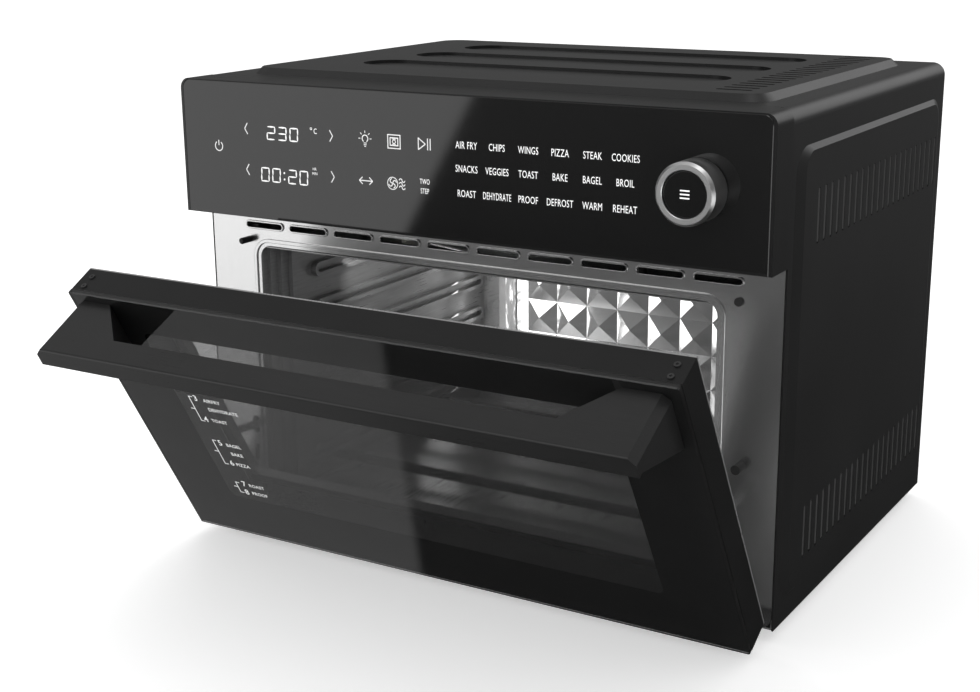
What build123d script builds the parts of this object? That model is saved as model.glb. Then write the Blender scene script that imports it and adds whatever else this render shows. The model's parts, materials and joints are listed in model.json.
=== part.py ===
import os
from math import cos, radians, sin

from build123d import *

# Countertop toaster oven with its door ajar. Millimetres, +Z up, -Y towards the user.
# The origin lies under the middle of the whole oven, on the surface that it stands on.
# Places inside the case are given as x, depth behind the control glass, and height above the case's edge.

# ---------------------------------------------------------------- driving dimensions
FRONT_Y = -101.4                  # control glass, measured from the middle of the whole oven
FOOT_H = 10.0                     # height of the rubber feet
CASE_X = 242.6                    # half width of the steel wrap
CASE_H = 359.3                    # height of the steel wrap
CASE_D = 366.3                    # rear edge of the steel wrap
SHEET = 1.2                       # cover and plate thickness
LINER = 1.0                       # cavity sheet thickness
EDGE_R = 10.0                     # rounded top edges of the wrap
BULGE = 3.0                       # raised panel on each side
TOP_RISE = 5.0                    # raised plate on top

PANEL_X = 240.0                   # half width of the control glass
PANEL_LOW, PANEL_HIGH = 256.0, 358.5
GLASS = 3.0
DIAL_X, DIAL_H = 190.5, 308.0     # dial axis
DIAL_R, DIAL_BORE = 20.8, 15.5
DIAL_REACH = 22.0                 # how far the dial stands out

PLATE_D = 28.3                    # front face of the front plate
MOUTH_X, MOUTH_LOW, MOUTH_HIGH = 194.4, 24.0, 228.0
CAVITY_X = 184.0                  # half width between the cavity walls
CAVITY_D = 347.0                  # cavity's rear wall
WALL_D = 54.0                     # front ends of the side walls
# Each step of the throat: its half width, and the depth where it starts.
THROAT_STEPS = ((191.5, 36.0), (188.0, 45.0))
FLOOR_H, ROOF_H = 23.0, 226.0
FACET = 31.6                      # pitch of the pyramids on the rear wall
FACET_RISE = 7.0

DOOR_OPEN = 29.7                  # angle of the door at rest, from closed
DOOR_X, DOOR_L, DOOR_T = 241.0, 254.6, 28.0
DOOR_GLASS = 4.0
HINGE_T, HINGE_L = 7.5, 3.5       # pin, from the outer glass face and from the door's lower edge
HINGE_D, HINGE_H = -3.3, 4.0      # the same pin in the case
HINGE_X, HINGE_R = 212.0, 2.0     # middle of each bracket, and the pin's radius
HINGE_REACH = 9.0                 # half length of a pin
HANDLE_X, HANDLE_L, HANDLE_REACH = 234.0, 248.0, 52.0
HANDLE_SCREW_X = 221.0
HANDLE_SCREW_LOW, HANDLE_SCREW_HIGH = 216.0, 240.0
STAY_X, STAY_T, STAY_L = 204.5, 33.0, 83.0
STAY_TILT = -5.65                 # stay arm's slope at rest
STAY_LENGTH = 122.0

# ---------------------------------------------------------------- working planes
# FRONT takes (x, height), SIDE takes (depth, height), TOP takes (x, depth).
CORNER = (0, FRONT_Y, FOOT_H)
FRONT = Plane(origin=CORNER, x_dir=(1, 0, 0), z_dir=(0, -1, 0))
SIDE = Plane(origin=CORNER, x_dir=(0, 1, 0), z_dir=(1, 0, 0))
TOP = Plane(origin=CORNER, x_dir=(1, 0, 0), z_dir=(0, 0, 1))
REAR = Plane(origin=CORNER, x_dir=(-1, 0, 0), z_dir=(0, 1, 0))       # takes (-x, height)
BELOW = Plane(origin=CORNER, x_dir=(1, 0, 0), z_dir=(0, 0, -1))      # takes (x, -depth)

# DOOR takes (x, distance up the door); its normal points out of the glass.
lean = radians(DOOR_OPEN)
outward = Vector(0, -cos(lean), -sin(lean))
upward = Vector(0, -sin(lean), cos(lean))
hinge = Vector(0, FRONT_Y + HINGE_D, FOOT_H + HINGE_H)
DOOR = Plane(origin=hinge + outward * HINGE_T - upward * HINGE_L, x_dir=(1, 0, 0), z_dir=outward)

# STAY takes (distance along the arm, across it), from the arm's pivot on the door.
slope = radians(STAY_TILT)
stay_pivot = DOOR.origin - outward * STAY_T + upward * STAY_L
STAY_PLACE = (stay_pivot.Y - FRONT_Y, stay_pivot.Z - FOOT_H)        # as SIDE takes it
STAY = Plane(origin=stay_pivot, x_dir=(0, cos(slope), sin(slope)), z_dir=(1, 0, 0))


# ---------------------------------------------------------------- helpers
def case_box(x, d, h, mode=Mode.ADD):
    """Box in the current part between two limits each of x, depth and height."""
    middle = (sum(x) / 2, FRONT_Y + sum(d) / 2, FOOT_H + sum(h) / 2)
    with Locations(middle):
        Box(x[1] - x[0], d[1] - d[0], h[1] - h[0], mode=mode)


def door_box(x, along, t, mode=Mode.ADD):
    """Box in the current part between two limits each of x, distance up the door and depth in it."""
    with Locations(DOOR.location * Location((sum(x) / 2, sum(along) / 2, -sum(t) / 2))):
        Box(x[1] - x[0], along[1] - along[0], t[1] - t[0], mode=mode)


def rod(plane, centre, radius, near, far, mode=Mode.ADD):
    """Round bar in the current part along a plane's normal, between two offsets."""
    with BuildSketch(plane.offset(near)) as section:
        with Locations(centre):
            Circle(radius)
    extrude(section.sketch, amount=far - near, mode=mode)


def ring(plane, centre, outer, inner, near, far):
    """Tube in the current part along a plane's normal, between two offsets."""
    with BuildSketch(plane.offset(near)) as section:
        with Locations(centre):
            Circle(outer)
            Circle(inner, mode=Mode.SUBTRACT)
    extrude(section.sketch, amount=far - near)


def frustum(near, near_box, far, far_box, mode=Mode.ADD):
    """Loft in the current part between two rounded rectangles (centre, width, height, radius)."""
    sections = []
    for plane, (centre, width, height, radius) in ((near, near_box), (far, far_box)):
        with BuildSketch(plane) as section:
            with Locations(centre):
                RectangleRounded(width, height, radius)
        sections.append(section.sketch.face())
    loft(sections, mode=mode)


def screw_head(plane, centres, radius, height):
    """Pan heads with a cross recess, standing on a plane, one for each centre."""
    with BuildSketch(plane) as heads:
        with Locations(*centres):
            Circle(radius)
    extrude(heads.sketch, amount=height)
    with BuildSketch(plane.offset(height)) as recesses:
        with Locations(*centres):
            Rectangle(radius, radius * 0.25)
            Rectangle(radius * 0.25, radius)
    extrude(recesses.sketch, amount=-height * 0.6, mode=Mode.SUBTRACT)


finished = []


def finish(builder, label):
    """Label a finished sub-part and keep it for export."""
    builder.part.label = label
    finished.append(builder.part)


# ================================================================ case
SIDE_LOW = ((196.5, 175.5), 321, 315, 20)       # foot of the side panel's slope
SIDE_HIGH = ((196.0, 175.7), 298, 307.5, 14)    # its flat top
TOP_LOW = ((0, 195), 432, 298, 20)
TOP_HIGH = ((0, 195), 422, 288, 16)
VENT_PITCH, VENT_COUNT, VENT_W = 12.65, 22, 4.0
VENT_MIDDLE = 206.0
VENT_BANDS = ((284.2, 38.5), (58.9, 39.1))      # height of the middle, and length of a slot
TOP_SLOT_PITCH, TOP_SLOT_COUNT = 13.6, 20
GROOVE_PITCH, GROOVE_LONG, GROOVE_WIDE, GROOVE_DEEP = 76.0, 312.0, 44.0, 2.4

with BuildPart() as outer_cover:
    with BuildSketch(FRONT.offset(-CASE_D)):
        with Locations((0, CASE_H / 2)):
            wrap = Rectangle(2 * CASE_X, CASE_H)
        fillet(wrap.vertices().group_by(Axis.Y)[-1], EDGE_R)
        offset(amount=-SHEET, mode=Mode.SUBTRACT)
        Rectangle(2 * (CASE_X - SHEET), 4 * SHEET, mode=Mode.SUBTRACT)
    extrude(amount=CASE_D - PLATE_D)
    # The control housing's tongue lies in the top's front edge.
    case_box((-233, 233), (PLATE_D - 1, 34.2), (CASE_H - 8, CASE_H + 1), mode=Mode.SUBTRACT)
    for side in (-1, 1):
        skin, crest = side * CASE_X, side * (CASE_X + BULGE)
        frustum(SIDE.offset(skin), SIDE_LOW, SIDE.offset(crest), SIDE_HIGH)
        inner = side * SHEET
        frustum(SIDE.offset(skin - inner), SIDE_LOW, SIDE.offset(crest - inner), SIDE_HIGH,
                mode=Mode.SUBTRACT)
        with BuildSketch(SIDE.offset(side * (CASE_X - 4))):
            for height, length in VENT_BANDS:
                with Locations((VENT_MIDDLE, height)):
                    with GridLocations(VENT_PITCH, 0, VENT_COUNT, 1):
                        SlotOverall(length, VENT_W, rotation=90)
        extrude(amount=side * 10, mode=Mode.SUBTRACT)
    frustum(TOP.offset(CASE_H), TOP_LOW, TOP.offset(CASE_H + TOP_RISE), TOP_HIGH)
    frustum(TOP.offset(CASE_H - SHEET), TOP_LOW, TOP.offset(CASE_H + TOP_RISE - SHEET), TOP_HIGH,
            mode=Mode.SUBTRACT)
    top_face = CASE_H + TOP_RISE
    for start, amount, grow, mode in (
        (top_face - GROOVE_DEEP - SHEET, GROOVE_DEEP + SHEET, 2 * SHEET, Mode.ADD),
        (top_face - GROOVE_DEEP, GROOVE_DEEP, 0, Mode.SUBTRACT),
    ):
        with BuildSketch(TOP.offset(start)):
            with Locations((0, 204)):
                with GridLocations(0, GROOVE_PITCH, 1, 3):
                    SlotOverall(GROOVE_LONG + grow, GROOVE_WIDE + grow)
        extrude(amount=amount, mode=mode)
    with BuildSketch(TOP.offset(CASE_H - 2)):
        with Locations((184, 199)):
            with GridLocations(0, TOP_SLOT_PITCH, 1, TOP_SLOT_COUNT):
                SlotOverall(26, 4.6)
    extrude(amount=TOP_RISE + 4, mode=Mode.SUBTRACT)
finish(outer_cover, "outer_cover")

with BuildPart() as base_pan:
    case_box((-241.2, 241.2), (29.8, 364.8), (0, SHEET))
    for side in (-1, 1):
        x = sorted((side * 241.2, side * 240.2))
        case_box(x, (29.8, 364.8), (0, 14))
    with BuildSketch(TOP):
        for depth in (110, 250):
            with Locations((0, depth)):
                with GridLocations(16, 0, 16, 1):
                    SlotOverall(50, 5, rotation=90)
    extrude(amount=SHEET * 2, both=True, mode=Mode.SUBTRACT)
finish(base_pan, "base_pan")

REAR_SKIN = CASE_D - 0.1
INLET = (-205.0, 40.0)            # mains cable inlet
REAR_PANEL = (0, 170)             # middle of the recessed field
with BuildPart() as rear_cover:
    with BuildSketch(FRONT.offset(-REAR_SKIN)):
        with Locations((0, 1.6 + 356 / 2)):
            RectangleRounded(482.2, 356, 8)
    extrude(amount=SHEET)
    frustum(FRONT.offset(-REAR_SKIN), (REAR_PANEL, 300, 230, 16), FRONT.offset(-REAR_SKIN - 6),
            (REAR_PANEL, 286, 216, 12))
    frustum(FRONT.offset(-REAR_SKIN + SHEET), (REAR_PANEL, 300, 230, 16),
            FRONT.offset(-REAR_SKIN - 6 + SHEET), (REAR_PANEL, 286, 216, 12), mode=Mode.SUBTRACT)
    with BuildSketch(FRONT.offset(-REAR_SKIN - 8)):
        with Locations((0, 230), (0, 110)):
            with GridLocations(12, 0, 18, 1):
                SlotOverall(60, 4, rotation=90)
        with Locations((-150, 325), (150, 325)):
            with GridLocations(0, 9, 1, 4):
                SlotOverall(90, 4)
    extrude(amount=14, mode=Mode.SUBTRACT)
    with BuildSketch(FRONT.offset(-REAR_SKIN - 1)):
        with Locations(INLET):
            Circle(9.05)
    extrude(amount=4, mode=Mode.SUBTRACT)
finish(rear_cover, "rear_cover")

with BuildPart() as cable_inlet:
    ring(FRONT, INLET, 9.0, 4.2, -REAR_SKIN - 3, -REAR_SKIN + SHEET + 4)
    ring(FRONT, INLET, 12.0, 4.2, -REAR_SKIN - 3, -REAR_SKIN)
    ring(FRONT, INLET, 11.5, 4.2, -REAR_SKIN + SHEET, -REAR_SKIN + SHEET + 3)
finish(cable_inlet, "cable_inlet")

with BuildPart() as rear_spacers:
    for x in (-195, 195):
        frustum(FRONT.offset(-REAR_SKIN), ((x, 300), 34, 26, 5), FRONT.offset(-REAR_SKIN - 12),
                ((x, 300), 26, 18, 4))
finish(rear_spacers, "rear_spacers")

FEET = [(x, d) for x in (-198, 198) for d in (64, 336)]
with BuildPart() as rubber_feet:
    for foot in FEET:
        with BuildSketch(TOP.offset(-FOOT_H)):
            with Locations(foot):
                Circle(11)
        with BuildSketch(TOP):
            with Locations(foot):
                Circle(13.5)
        loft()
        rod(TOP, foot, 4.5, -FOOT_H, -3.5, mode=Mode.SUBTRACT)
finish(rubber_feet, "rubber_feet")

# ================================================================ front plate
PLATE_VENT_PITCH, PLATE_VENT_COUNT = 42.6, 10
PLATE_VENT_MIDDLE = (2.8, 243.9)
PLATE_VENT_L, PLATE_VENT_W = 34.4, 4.0
PLATE_RIM = 1.4                   # width of the rim round each vent
PLATE_RISE = 1.2                  # height of the rims and of the bead
# Each bumper's x, height, radius and reach. The last is a low plug.
BUMPERS = ((215.0, 116.3, 3.4, 10.2), (-215.0, 116.3, 3.4, 10.2), (209.7, 230.4, 3.0, 1.8))
BEAD_X, BEAD_LOW, BEAD_HIGH = MOUTH_X + 6.2, MOUTH_LOW - 6.5, MOUTH_HIGH + 5.5
SWITCH = (-205.9, 231.4)
STAY_SLOT_H, SPARE_SLOT_H = 81.0, 57.0
with BuildPart() as front_plate:
    with BuildSketch(FRONT.offset(-PLATE_D - SHEET)):
        with Locations((0, 1.6 + 356 / 2)):
            RectangleRounded(482.2, 356, 8)
        with Locations((0, (MOUTH_LOW + MOUTH_HIGH) / 2)):
            RectangleRounded(2 * MOUTH_X, MOUTH_HIGH - MOUTH_LOW, 10, mode=Mode.SUBTRACT)
        with Locations(PLATE_VENT_MIDDLE):
            with GridLocations(PLATE_VENT_PITCH, 0, PLATE_VENT_COUNT, 1):
                SlotOverall(PLATE_VENT_L, PLATE_VENT_W, mode=Mode.SUBTRACT)
        with Locations((0, 308)):
            Rectangle(440, 84, mode=Mode.SUBTRACT)
        with Locations(SWITCH):
            Circle(2.6, mode=Mode.SUBTRACT)
        for side in (-1, 1):
            with Locations((side * STAY_X, STAY_SLOT_H)):
                SlotOverall(15, 7, rotation=90, mode=Mode.SUBTRACT)
            with Locations((side * STAY_X, SPARE_SLOT_H)):
                SlotOverall(14, 5, rotation=90, mode=Mode.SUBTRACT)
            with Locations((side * HINGE_X, 3)):
                Rectangle(5, 12, mode=Mode.SUBTRACT)
    extrude(amount=SHEET)
    with BuildSketch(FRONT.offset(-PLATE_D)):
        with Locations((0, (BEAD_LOW + BEAD_HIGH) / 2)):
            RectangleRounded(2 * BEAD_X, BEAD_HIGH - BEAD_LOW, 15)
            RectangleRounded(2 * BEAD_X - 6, BEAD_HIGH - BEAD_LOW - 6, 12, mode=Mode.SUBTRACT)
        with Locations(PLATE_VENT_MIDDLE):
            with GridLocations(PLATE_VENT_PITCH, 0, PLATE_VENT_COUNT, 1):
                SlotOverall(PLATE_VENT_L + 2 * PLATE_RIM, PLATE_VENT_W + 2 * PLATE_RIM)
                SlotOverall(PLATE_VENT_L, PLATE_VENT_W, mode=Mode.SUBTRACT)
    extrude(amount=PLATE_RISE)
    crest_y = FRONT_Y + PLATE_D - PLATE_RISE
    fillet([edge for edge in front_plate.edges() if abs(edge.center().Y - crest_y) < 0.01], 0.45)
finish(front_plate, "front_plate")

with BuildPart() as door_bumpers:
    for x, h, radius, reach in BUMPERS:
        rod(FRONT, (x, h), radius, -PLATE_D, -PLATE_D + reach)
finish(door_bumpers, "door_bumpers")

with BuildPart() as hinge_brackets:
    for side in (-1, 1):
        with BuildSketch(SIDE.offset(side * HINGE_X - 1.5)):
            with BuildLine():
                Polyline((HINGE_D, 7.1), (70, 7.1), (70, SHEET + 0.1), (34, SHEET + 0.1), (24, 1.2),
                         (HINGE_D, HINGE_H - 3.1), close=True)
            make_face()
            with Locations((HINGE_D, HINGE_H)):
                Circle(3.1)
                Circle(2.06, mode=Mode.SUBTRACT)
        extrude(amount=3)
        case_box((side * HINGE_X - 7, side * HINGE_X + 7), (34, 70), (SHEET, 2 * SHEET))
finish(hinge_brackets, "hinge_brackets")

# ================================================================ oven cavity
RAIL_HEIGHTS = [45.5 + 30.7 * level for level in range(6)]
UPPER_ELEMENTS, LOWER_ELEMENTS = (88, 154, 240, 306), (110, 196, 282)
UPPER_H, LOWER_H, ELEMENT_R = 216.4, 34.4, 4.0
ELEMENTS = [(d, UPPER_H) for d in UPPER_ELEMENTS] + [(d, LOWER_H) for d in LOWER_ELEMENTS]
LAMP = (-135, 122)
PROBE = (320, 122.2)
for side, name in ((-1, "left"), (1, "right")):
    with BuildPart() as cavity_wall:
        with BuildSketch(SIDE.offset(side * CAVITY_X)):
            with Locations(((WALL_D + CAVITY_D) / 2, (FLOOR_H + ROOF_H) / 2)):
                Rectangle(CAVITY_D - WALL_D, ROOF_H - FLOOR_H)
            with Locations(*ELEMENTS):
                Circle(ELEMENT_R + 1.5, mode=Mode.SUBTRACT)
            if side > 0:
                with Locations(PROBE):
                    Circle(3.2, mode=Mode.SUBTRACT)
        extrude(amount=side * LINER)
        # Throat from the front plate to the wall, in three shallow steps.
        outer, start = MOUTH_X, PLATE_D + SHEET
        for inner, depth in (*THROAT_STEPS, (CAVITY_X, WALL_D)):
            far = side * (outer + LINER)
            case_box(sorted((side * outer, far)), (start, depth), (FLOOR_H, ROOF_H))
            case_box(sorted((side * inner, far)), (depth, depth + LINER), (FLOOR_H, ROOF_H))
            outer, start = inner, depth
    finish(cavity_wall, f"cavity_{name}_wall")

    with BuildPart() as rack_rails:
        for height in RAIL_HEIGHTS:
            with BuildSketch(SIDE.offset(side * (CAVITY_X - 0.02))):
                with Locations((208.5, height)):
                    SlotOverall(261, 12)
                    SlotOverall(254, 5, mode=Mode.SUBTRACT)
            extrude(amount=-side * 5)
    finish(rack_rails, f"{name}_rack_rails")

PYRAMID_X, PYRAMID_H = 24.0, 123.5
COLUMNS, ROWS = 10, 6
with BuildPart() as cavity_rear_wall:
    case_box((-CAVITY_X - LINER, CAVITY_X + LINER), (CAVITY_D, CAVITY_D + LINER), (FLOOR_H, ROOF_H))
    with BuildSketch(FRONT.offset(-CAVITY_D)):
        with Locations((PYRAMID_X, PYRAMID_H)):
            with GridLocations(FACET, FACET, COLUMNS, ROWS):
                Rectangle(FACET - 0.02, FACET - 0.02)
    extrude(amount=FACET_RISE, taper=66)
finish(cavity_rear_wall, "cavity_rear_wall")

with BuildPart() as corner_reflector:
    with BuildSketch(TOP.offset(PYRAMID_H - ROWS * FACET / 2)):
        with BuildLine():
            Polyline((-165, CAVITY_D), (-165, CAVITY_D - 2), (-156, CAVITY_D - 5), (-147, CAVITY_D - 2),
                     (-147, CAVITY_D), close=True)
        make_face()
    extrude(amount=ROWS * FACET)
finish(corner_reflector, "corner_reflector")

FAN = (0, 196)
GRILLE_R = 88.0
with BuildPart() as cavity_roof:
    with BuildSketch(TOP.offset(ROOF_H)):
        with Locations((0, (PLATE_D + SHEET + CAVITY_D + LINER) / 2)):
            Rectangle(2 * (MOUTH_X + LINER), CAVITY_D + LINER - PLATE_D - SHEET)
        with Locations(FAN):
            Circle(GRILLE_R - 6, mode=Mode.SUBTRACT)
        with Locations(LAMP):
            Circle(21, mode=Mode.SUBTRACT)
    extrude(amount=LINER)
finish(cavity_roof, "cavity_roof")

with BuildPart() as fan_grille:
    with BuildSketch(TOP.offset(ROOF_H)):
        with Locations(FAN):
            Circle(GRILLE_R)
            with PolarLocations(44, 18):
                SlotOverall(34, 5, mode=Mode.SUBTRACT)
            with PolarLocations(71, 36):
                SlotOverall(12, 5, mode=Mode.SUBTRACT)
            with PolarLocations(16, 6):
                Circle(3, mode=Mode.SUBTRACT)
    extrude(amount=-LINER)
finish(fan_grille, "fan_grille")

with BuildPart() as cavity_floor:
    case_box((-MOUTH_X - LINER, MOUTH_X + LINER), (PLATE_D + SHEET, CAVITY_D + LINER),
             (FLOOR_H - LINER, FLOOR_H))
finish(cavity_floor, "cavity_floor")

with BuildPart() as crumb_tray:
    case_box((-181, 181), (42, 336), (FLOOR_H, FLOOR_H + 6))
    case_box((-180, 180), (43, 335), (FLOOR_H + 0.8, FLOOR_H + 7), mode=Mode.SUBTRACT)
    case_box((-186, 186), (33, 34), (FLOOR_H, FLOOR_H + 9))
    case_box((-181, 181), (34, 43), (FLOOR_H, FLOOR_H + 0.8))
finish(crumb_tray, "crumb_tray")

for name, depths, height in (("upper", UPPER_ELEMENTS, UPPER_H), ("lower", LOWER_ELEMENTS, LOWER_H)):
    with BuildPart() as heating_elements:
        for depth in depths:
            rod(SIDE, (depth, height), ELEMENT_R, -198, 198)
    finish(heating_elements, f"{name}_heating_elements")

with BuildPart() as element_insulators:
    for side in (-1, 1):
        for place in ELEMENTS:
            ring(SIDE, place, 8.0, ELEMENT_R, side * (CAVITY_X + LINER), side * 196)
finish(element_insulators, "element_insulators")

# ================================================================ lamp and sensors
with BuildPart() as lamp_lens:
    with BuildSketch(TOP.offset(ROOF_H)):
        with Locations(LAMP):
            Circle(24)
    with BuildSketch(TOP.offset(ROOF_H - 5)):
        with Locations(LAMP):
            Circle(20)
    loft()
finish(lamp_lens, "lamp_lens")

with BuildPart() as lamp_holder:
    ring(TOP, LAMP, 24, 21.5, ROOF_H + LINER, ROOF_H + 36)
    rod(TOP, LAMP, 24, ROOF_H + 36, ROOF_H + 38)
    ring(TOP, LAMP, 9, 7, ROOF_H + 24, ROOF_H + 36)
finish(lamp_holder, "lamp_holder")

with BuildPart() as lamp_bulb:
    rod(TOP, LAMP, 6.9, ROOF_H + 22, ROOF_H + 35.8)
    rod(TOP, LAMP, 10, ROOF_H + 4, ROOF_H + 22)
    fillet(lamp_bulb.edges().filter_by(GeomType.CIRCLE).group_by(Axis.Z)[0], 8)
finish(lamp_bulb, "lamp_bulb")

with BuildPart() as temperature_probe:
    rod(SIDE, PROBE, 3.0, CAVITY_X - 4.6, CAVITY_X + 12)
    rod(SIDE, PROBE, 6.5, CAVITY_X + LINER, CAVITY_X + 4)
finish(temperature_probe, "temperature_probe")

with BuildPart() as thermal_cutout:
    rod(TOP, (120, 300), 8, ROOF_H + LINER, ROOF_H + 9)
    case_box((106, 134), (297, 303), (ROOF_H + LINER, ROOF_H + 3))
finish(thermal_cutout, "thermal_cutout")

# ================================================================ convection fan
SHROUD_R, SHROUD_TOP = 90.0, 256.0
with BuildPart() as fan_shroud:
    ring(TOP, FAN, SHROUD_R, SHROUD_R - LINER, ROOF_H + LINER, SHROUD_TOP)
    ring(TOP, FAN, SHROUD_R, 5, SHROUD_TOP, SHROUD_TOP + LINER)
    ring(TOP, FAN, SHROUD_R + 8, SHROUD_R - LINER, ROOF_H + LINER, ROOF_H + 2 * LINER)
finish(fan_shroud, "fan_shroud")

with BuildPart() as motor_bracket:
    for side in (-1, 1):
        case_box(sorted((side * 45, side * 47)), (186, 206), (SHROUD_TOP + LINER, 282))
        case_box(sorted((side * 47, side * 62)), (186, 206), (SHROUD_TOP + LINER, SHROUD_TOP + LINER + 2))
    case_box((-47, 47), (186, 206), (282, 284))
    rod(TOP, FAN, 8, 280, 286, mode=Mode.SUBTRACT)
finish(motor_bracket, "motor_bracket")

with BuildPart() as fan_motor:
    ring(TOP, FAN, 30, 3.4, 284, 314)
    fillet(fan_motor.edges().filter_by(GeomType.CIRCLE).group_by(Axis.Z)[-1].sort_by(SortBy.RADIUS)[-1], 4)
finish(fan_motor, "fan_motor")

with BuildPart() as fan_shaft:
    rod(TOP, FAN, 3.0, 230, 336)
finish(fan_shaft, "fan_shaft")

with BuildPart() as fan_wheel:
    ring(TOP, FAN, 9, 3.0, 231, 247)
    ring(TOP, FAN, 74, 3.0, 245, 246.2)
    with BuildSketch(TOP.offset(231)):
        with Locations(FAN):
            with PolarLocations(52, 24, rotate=True):
                Rectangle(38, 1.4, rotation=24)
    extrude(amount=14.2)
finish(fan_wheel, "fan_wheel")

with BuildPart() as cooling_blade:
    ring(TOP, FAN, 8, 3.0, 322, 334)
    with BuildSketch(TOP.offset(327)):
        with Locations(FAN):
            with PolarLocations(30, 6, rotate=True):
                Rectangle(50, 17)
            Circle(3.0, mode=Mode.SUBTRACT)
    extrude(amount=1.4)
finish(cooling_blade, "cooling_blade")

# ================================================================ control panel
with BuildPart() as control_housing:
    middle_h = (PANEL_LOW + CASE_H) / 2
    with BuildSketch(FRONT.offset(-PLATE_D)):
        with Locations((0, middle_h)):
            shell = Rectangle(2 * CASE_X, CASE_H - PANEL_LOW)
        fillet(shell.vertices().group_by(Axis.Y)[-1], 8)
    extrude(amount=PLATE_D - 0.4)
    with BuildSketch(FRONT.offset(-PLATE_D)):
        with Locations((0, middle_h)):
            RectangleRounded(2 * CASE_X - 4, CASE_H - PANEL_LOW - 4, 6)
    extrude(amount=PLATE_D - GLASS - 2.2, mode=Mode.SUBTRACT)
    # Seat for the glass, open below.
    with BuildSketch(FRONT.offset(-GLASS - 0.1)):
        with Locations((0, PANEL_HIGH + 0.15 - 60)):
            seat = Rectangle(2 * PANEL_X + 0.3, 120)
        fillet(seat.vertices().group_by(Axis.Y)[-1], 7)
    extrude(amount=GLASS + 1, mode=Mode.SUBTRACT)
    with BuildSketch(FRONT.offset(-GLASS - 3)):
        with Locations((0, middle_h)):
            Rectangle(2 * CASE_X - 26, CASE_H - PANEL_LOW - 23)
    extrude(amount=4, mode=Mode.SUBTRACT)
    # Tongue under the front edge of the steel top.
    case_box((-232.6, 232.6), (PLATE_D, 34), (CASE_H - 1.4, CASE_H))
finish(control_housing, "control_housing")

with BuildPart() as control_glass:
    with BuildSketch(FRONT.offset(-GLASS)):
        with Locations((0, (PANEL_LOW + PANEL_HIGH) / 2)):
            pane = Rectangle(2 * PANEL_X, PANEL_HIGH - PANEL_LOW)
        fillet(pane.vertices().group_by(Axis.Y)[-1], 7)
        with Locations((DIAL_X, DIAL_H)):
            Circle(3.5, mode=Mode.SUBTRACT)
    extrude(amount=GLASS)
    chamfer(control_glass.faces().sort_by(Axis.Y)[0].outer_wire().edges(), 0.5)
finish(control_glass, "control_glass")

with BuildPart() as control_boards:
    case_box((-215, 5), (8, 9.6), (270, 350))
    case_box((160, 221), (16, 17.6), (285, 331))
finish(control_boards, "control_boards")

with BuildPart() as display_module:
    case_box((-170, -108), (GLASS, 8), (314, 331))
    case_box((-170, -108), (GLASS, 8), (282, 299))
finish(display_module, "display_module")

with BuildPart() as touch_sensors:
    sensor_x = (-207, -179.6, -99.8, -69.8, -44.6, -19)
    for height in (324, 293.5):
        with BuildSketch(FRONT.offset(-8)):
            with Locations(*[(x, height) for x in sensor_x[1:]]):
                Circle(5.5)
        extrude(amount=5)
    rod(FRONT, (-207, 309), 5.5, -8, -GLASS)
finish(touch_sensors, "touch_sensors")

with BuildPart() as encoder_body:
    case_box((DIAL_X - 8, DIAL_X + 8), (7, 16), (DIAL_H - 8, DIAL_H + 8))
    # Deep enough for the button's stem when it is pressed.
    rod(FRONT, (DIAL_X, DIAL_H), 3.06, -15, -6, mode=Mode.SUBTRACT)
finish(encoder_body, "encoder_body")

with BuildPart() as power_board:
    case_box((110, 215), (70, 150), (262, 263.6))
    for x, d, w, tall in ((128, 86, 22, 24), (160, 90, 16, 18), (190, 100, 28, 30), (140, 128, 20, 20)):
        case_box((x - w / 2, x + w / 2), (d - 9, d + 9), (263.6, 263.6 + tall))
    for x in (116, 209):
        for d in (76, 144):
            rod(TOP, (x, d), 3, ROOF_H + LINER, 262)
finish(power_board, "power_board")

with BuildPart() as dial_ring:
    with BuildSketch(SIDE.offset(DIAL_X)):
        with BuildLine():
            Polyline((-0.8, DIAL_H + 3.0), (-0.8, DIAL_H + DIAL_R - 0.6), (-1.4, DIAL_H + DIAL_R),
                     (-DIAL_REACH + 2.2, DIAL_H + DIAL_R), (-DIAL_REACH, DIAL_H + DIAL_R - 1.8),
                     (-DIAL_REACH, DIAL_H + DIAL_BORE + 0.4), (-DIAL_REACH + 0.4, DIAL_H + DIAL_BORE),
                     (-12, DIAL_H + DIAL_BORE), (-12, DIAL_H + 3.0), close=True)
        make_face()
    revolve(axis=Axis((DIAL_X, FRONT_Y, FOOT_H + DIAL_H), (0, 1, 0)))
finish(dial_ring, "dial_ring")

with BuildPart() as dial_shaft:
    ring(FRONT, (DIAL_X, DIAL_H), 3.0, 1.8, -14, 12)
finish(dial_shaft, "dial_shaft")

with BuildPart() as menu_button:
    rod(FRONT, (DIAL_X, DIAL_H), DIAL_BORE - 0.3, 16.5, 20.6)
    rod(FRONT, (DIAL_X, DIAL_H), 1.74, -13, 16.5)
    fillet(menu_button.edges().filter_by(GeomType.CIRCLE).sort_by(Axis.Y)[0], 0.8)
finish(menu_button, "menu_button")

with BuildPart() as switch_plunger:
    rod(FRONT, SWITCH, 2.5, -38, -18.6)
    fillet(switch_plunger.edges().sort_by(Axis.Y)[0], 1.0)
finish(switch_plunger, "switch_plunger")

with BuildPart() as door_switch_body:
    case_box((SWITCH[0] - 8, SWITCH[0] + 8), (31, 46), (SWITCH[1] - 6, SWITCH[1] + 12))
    rod(FRONT, SWITCH, 2.56, -43, -30, mode=Mode.SUBTRACT)
finish(door_switch_body, "door_switch_body")

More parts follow.
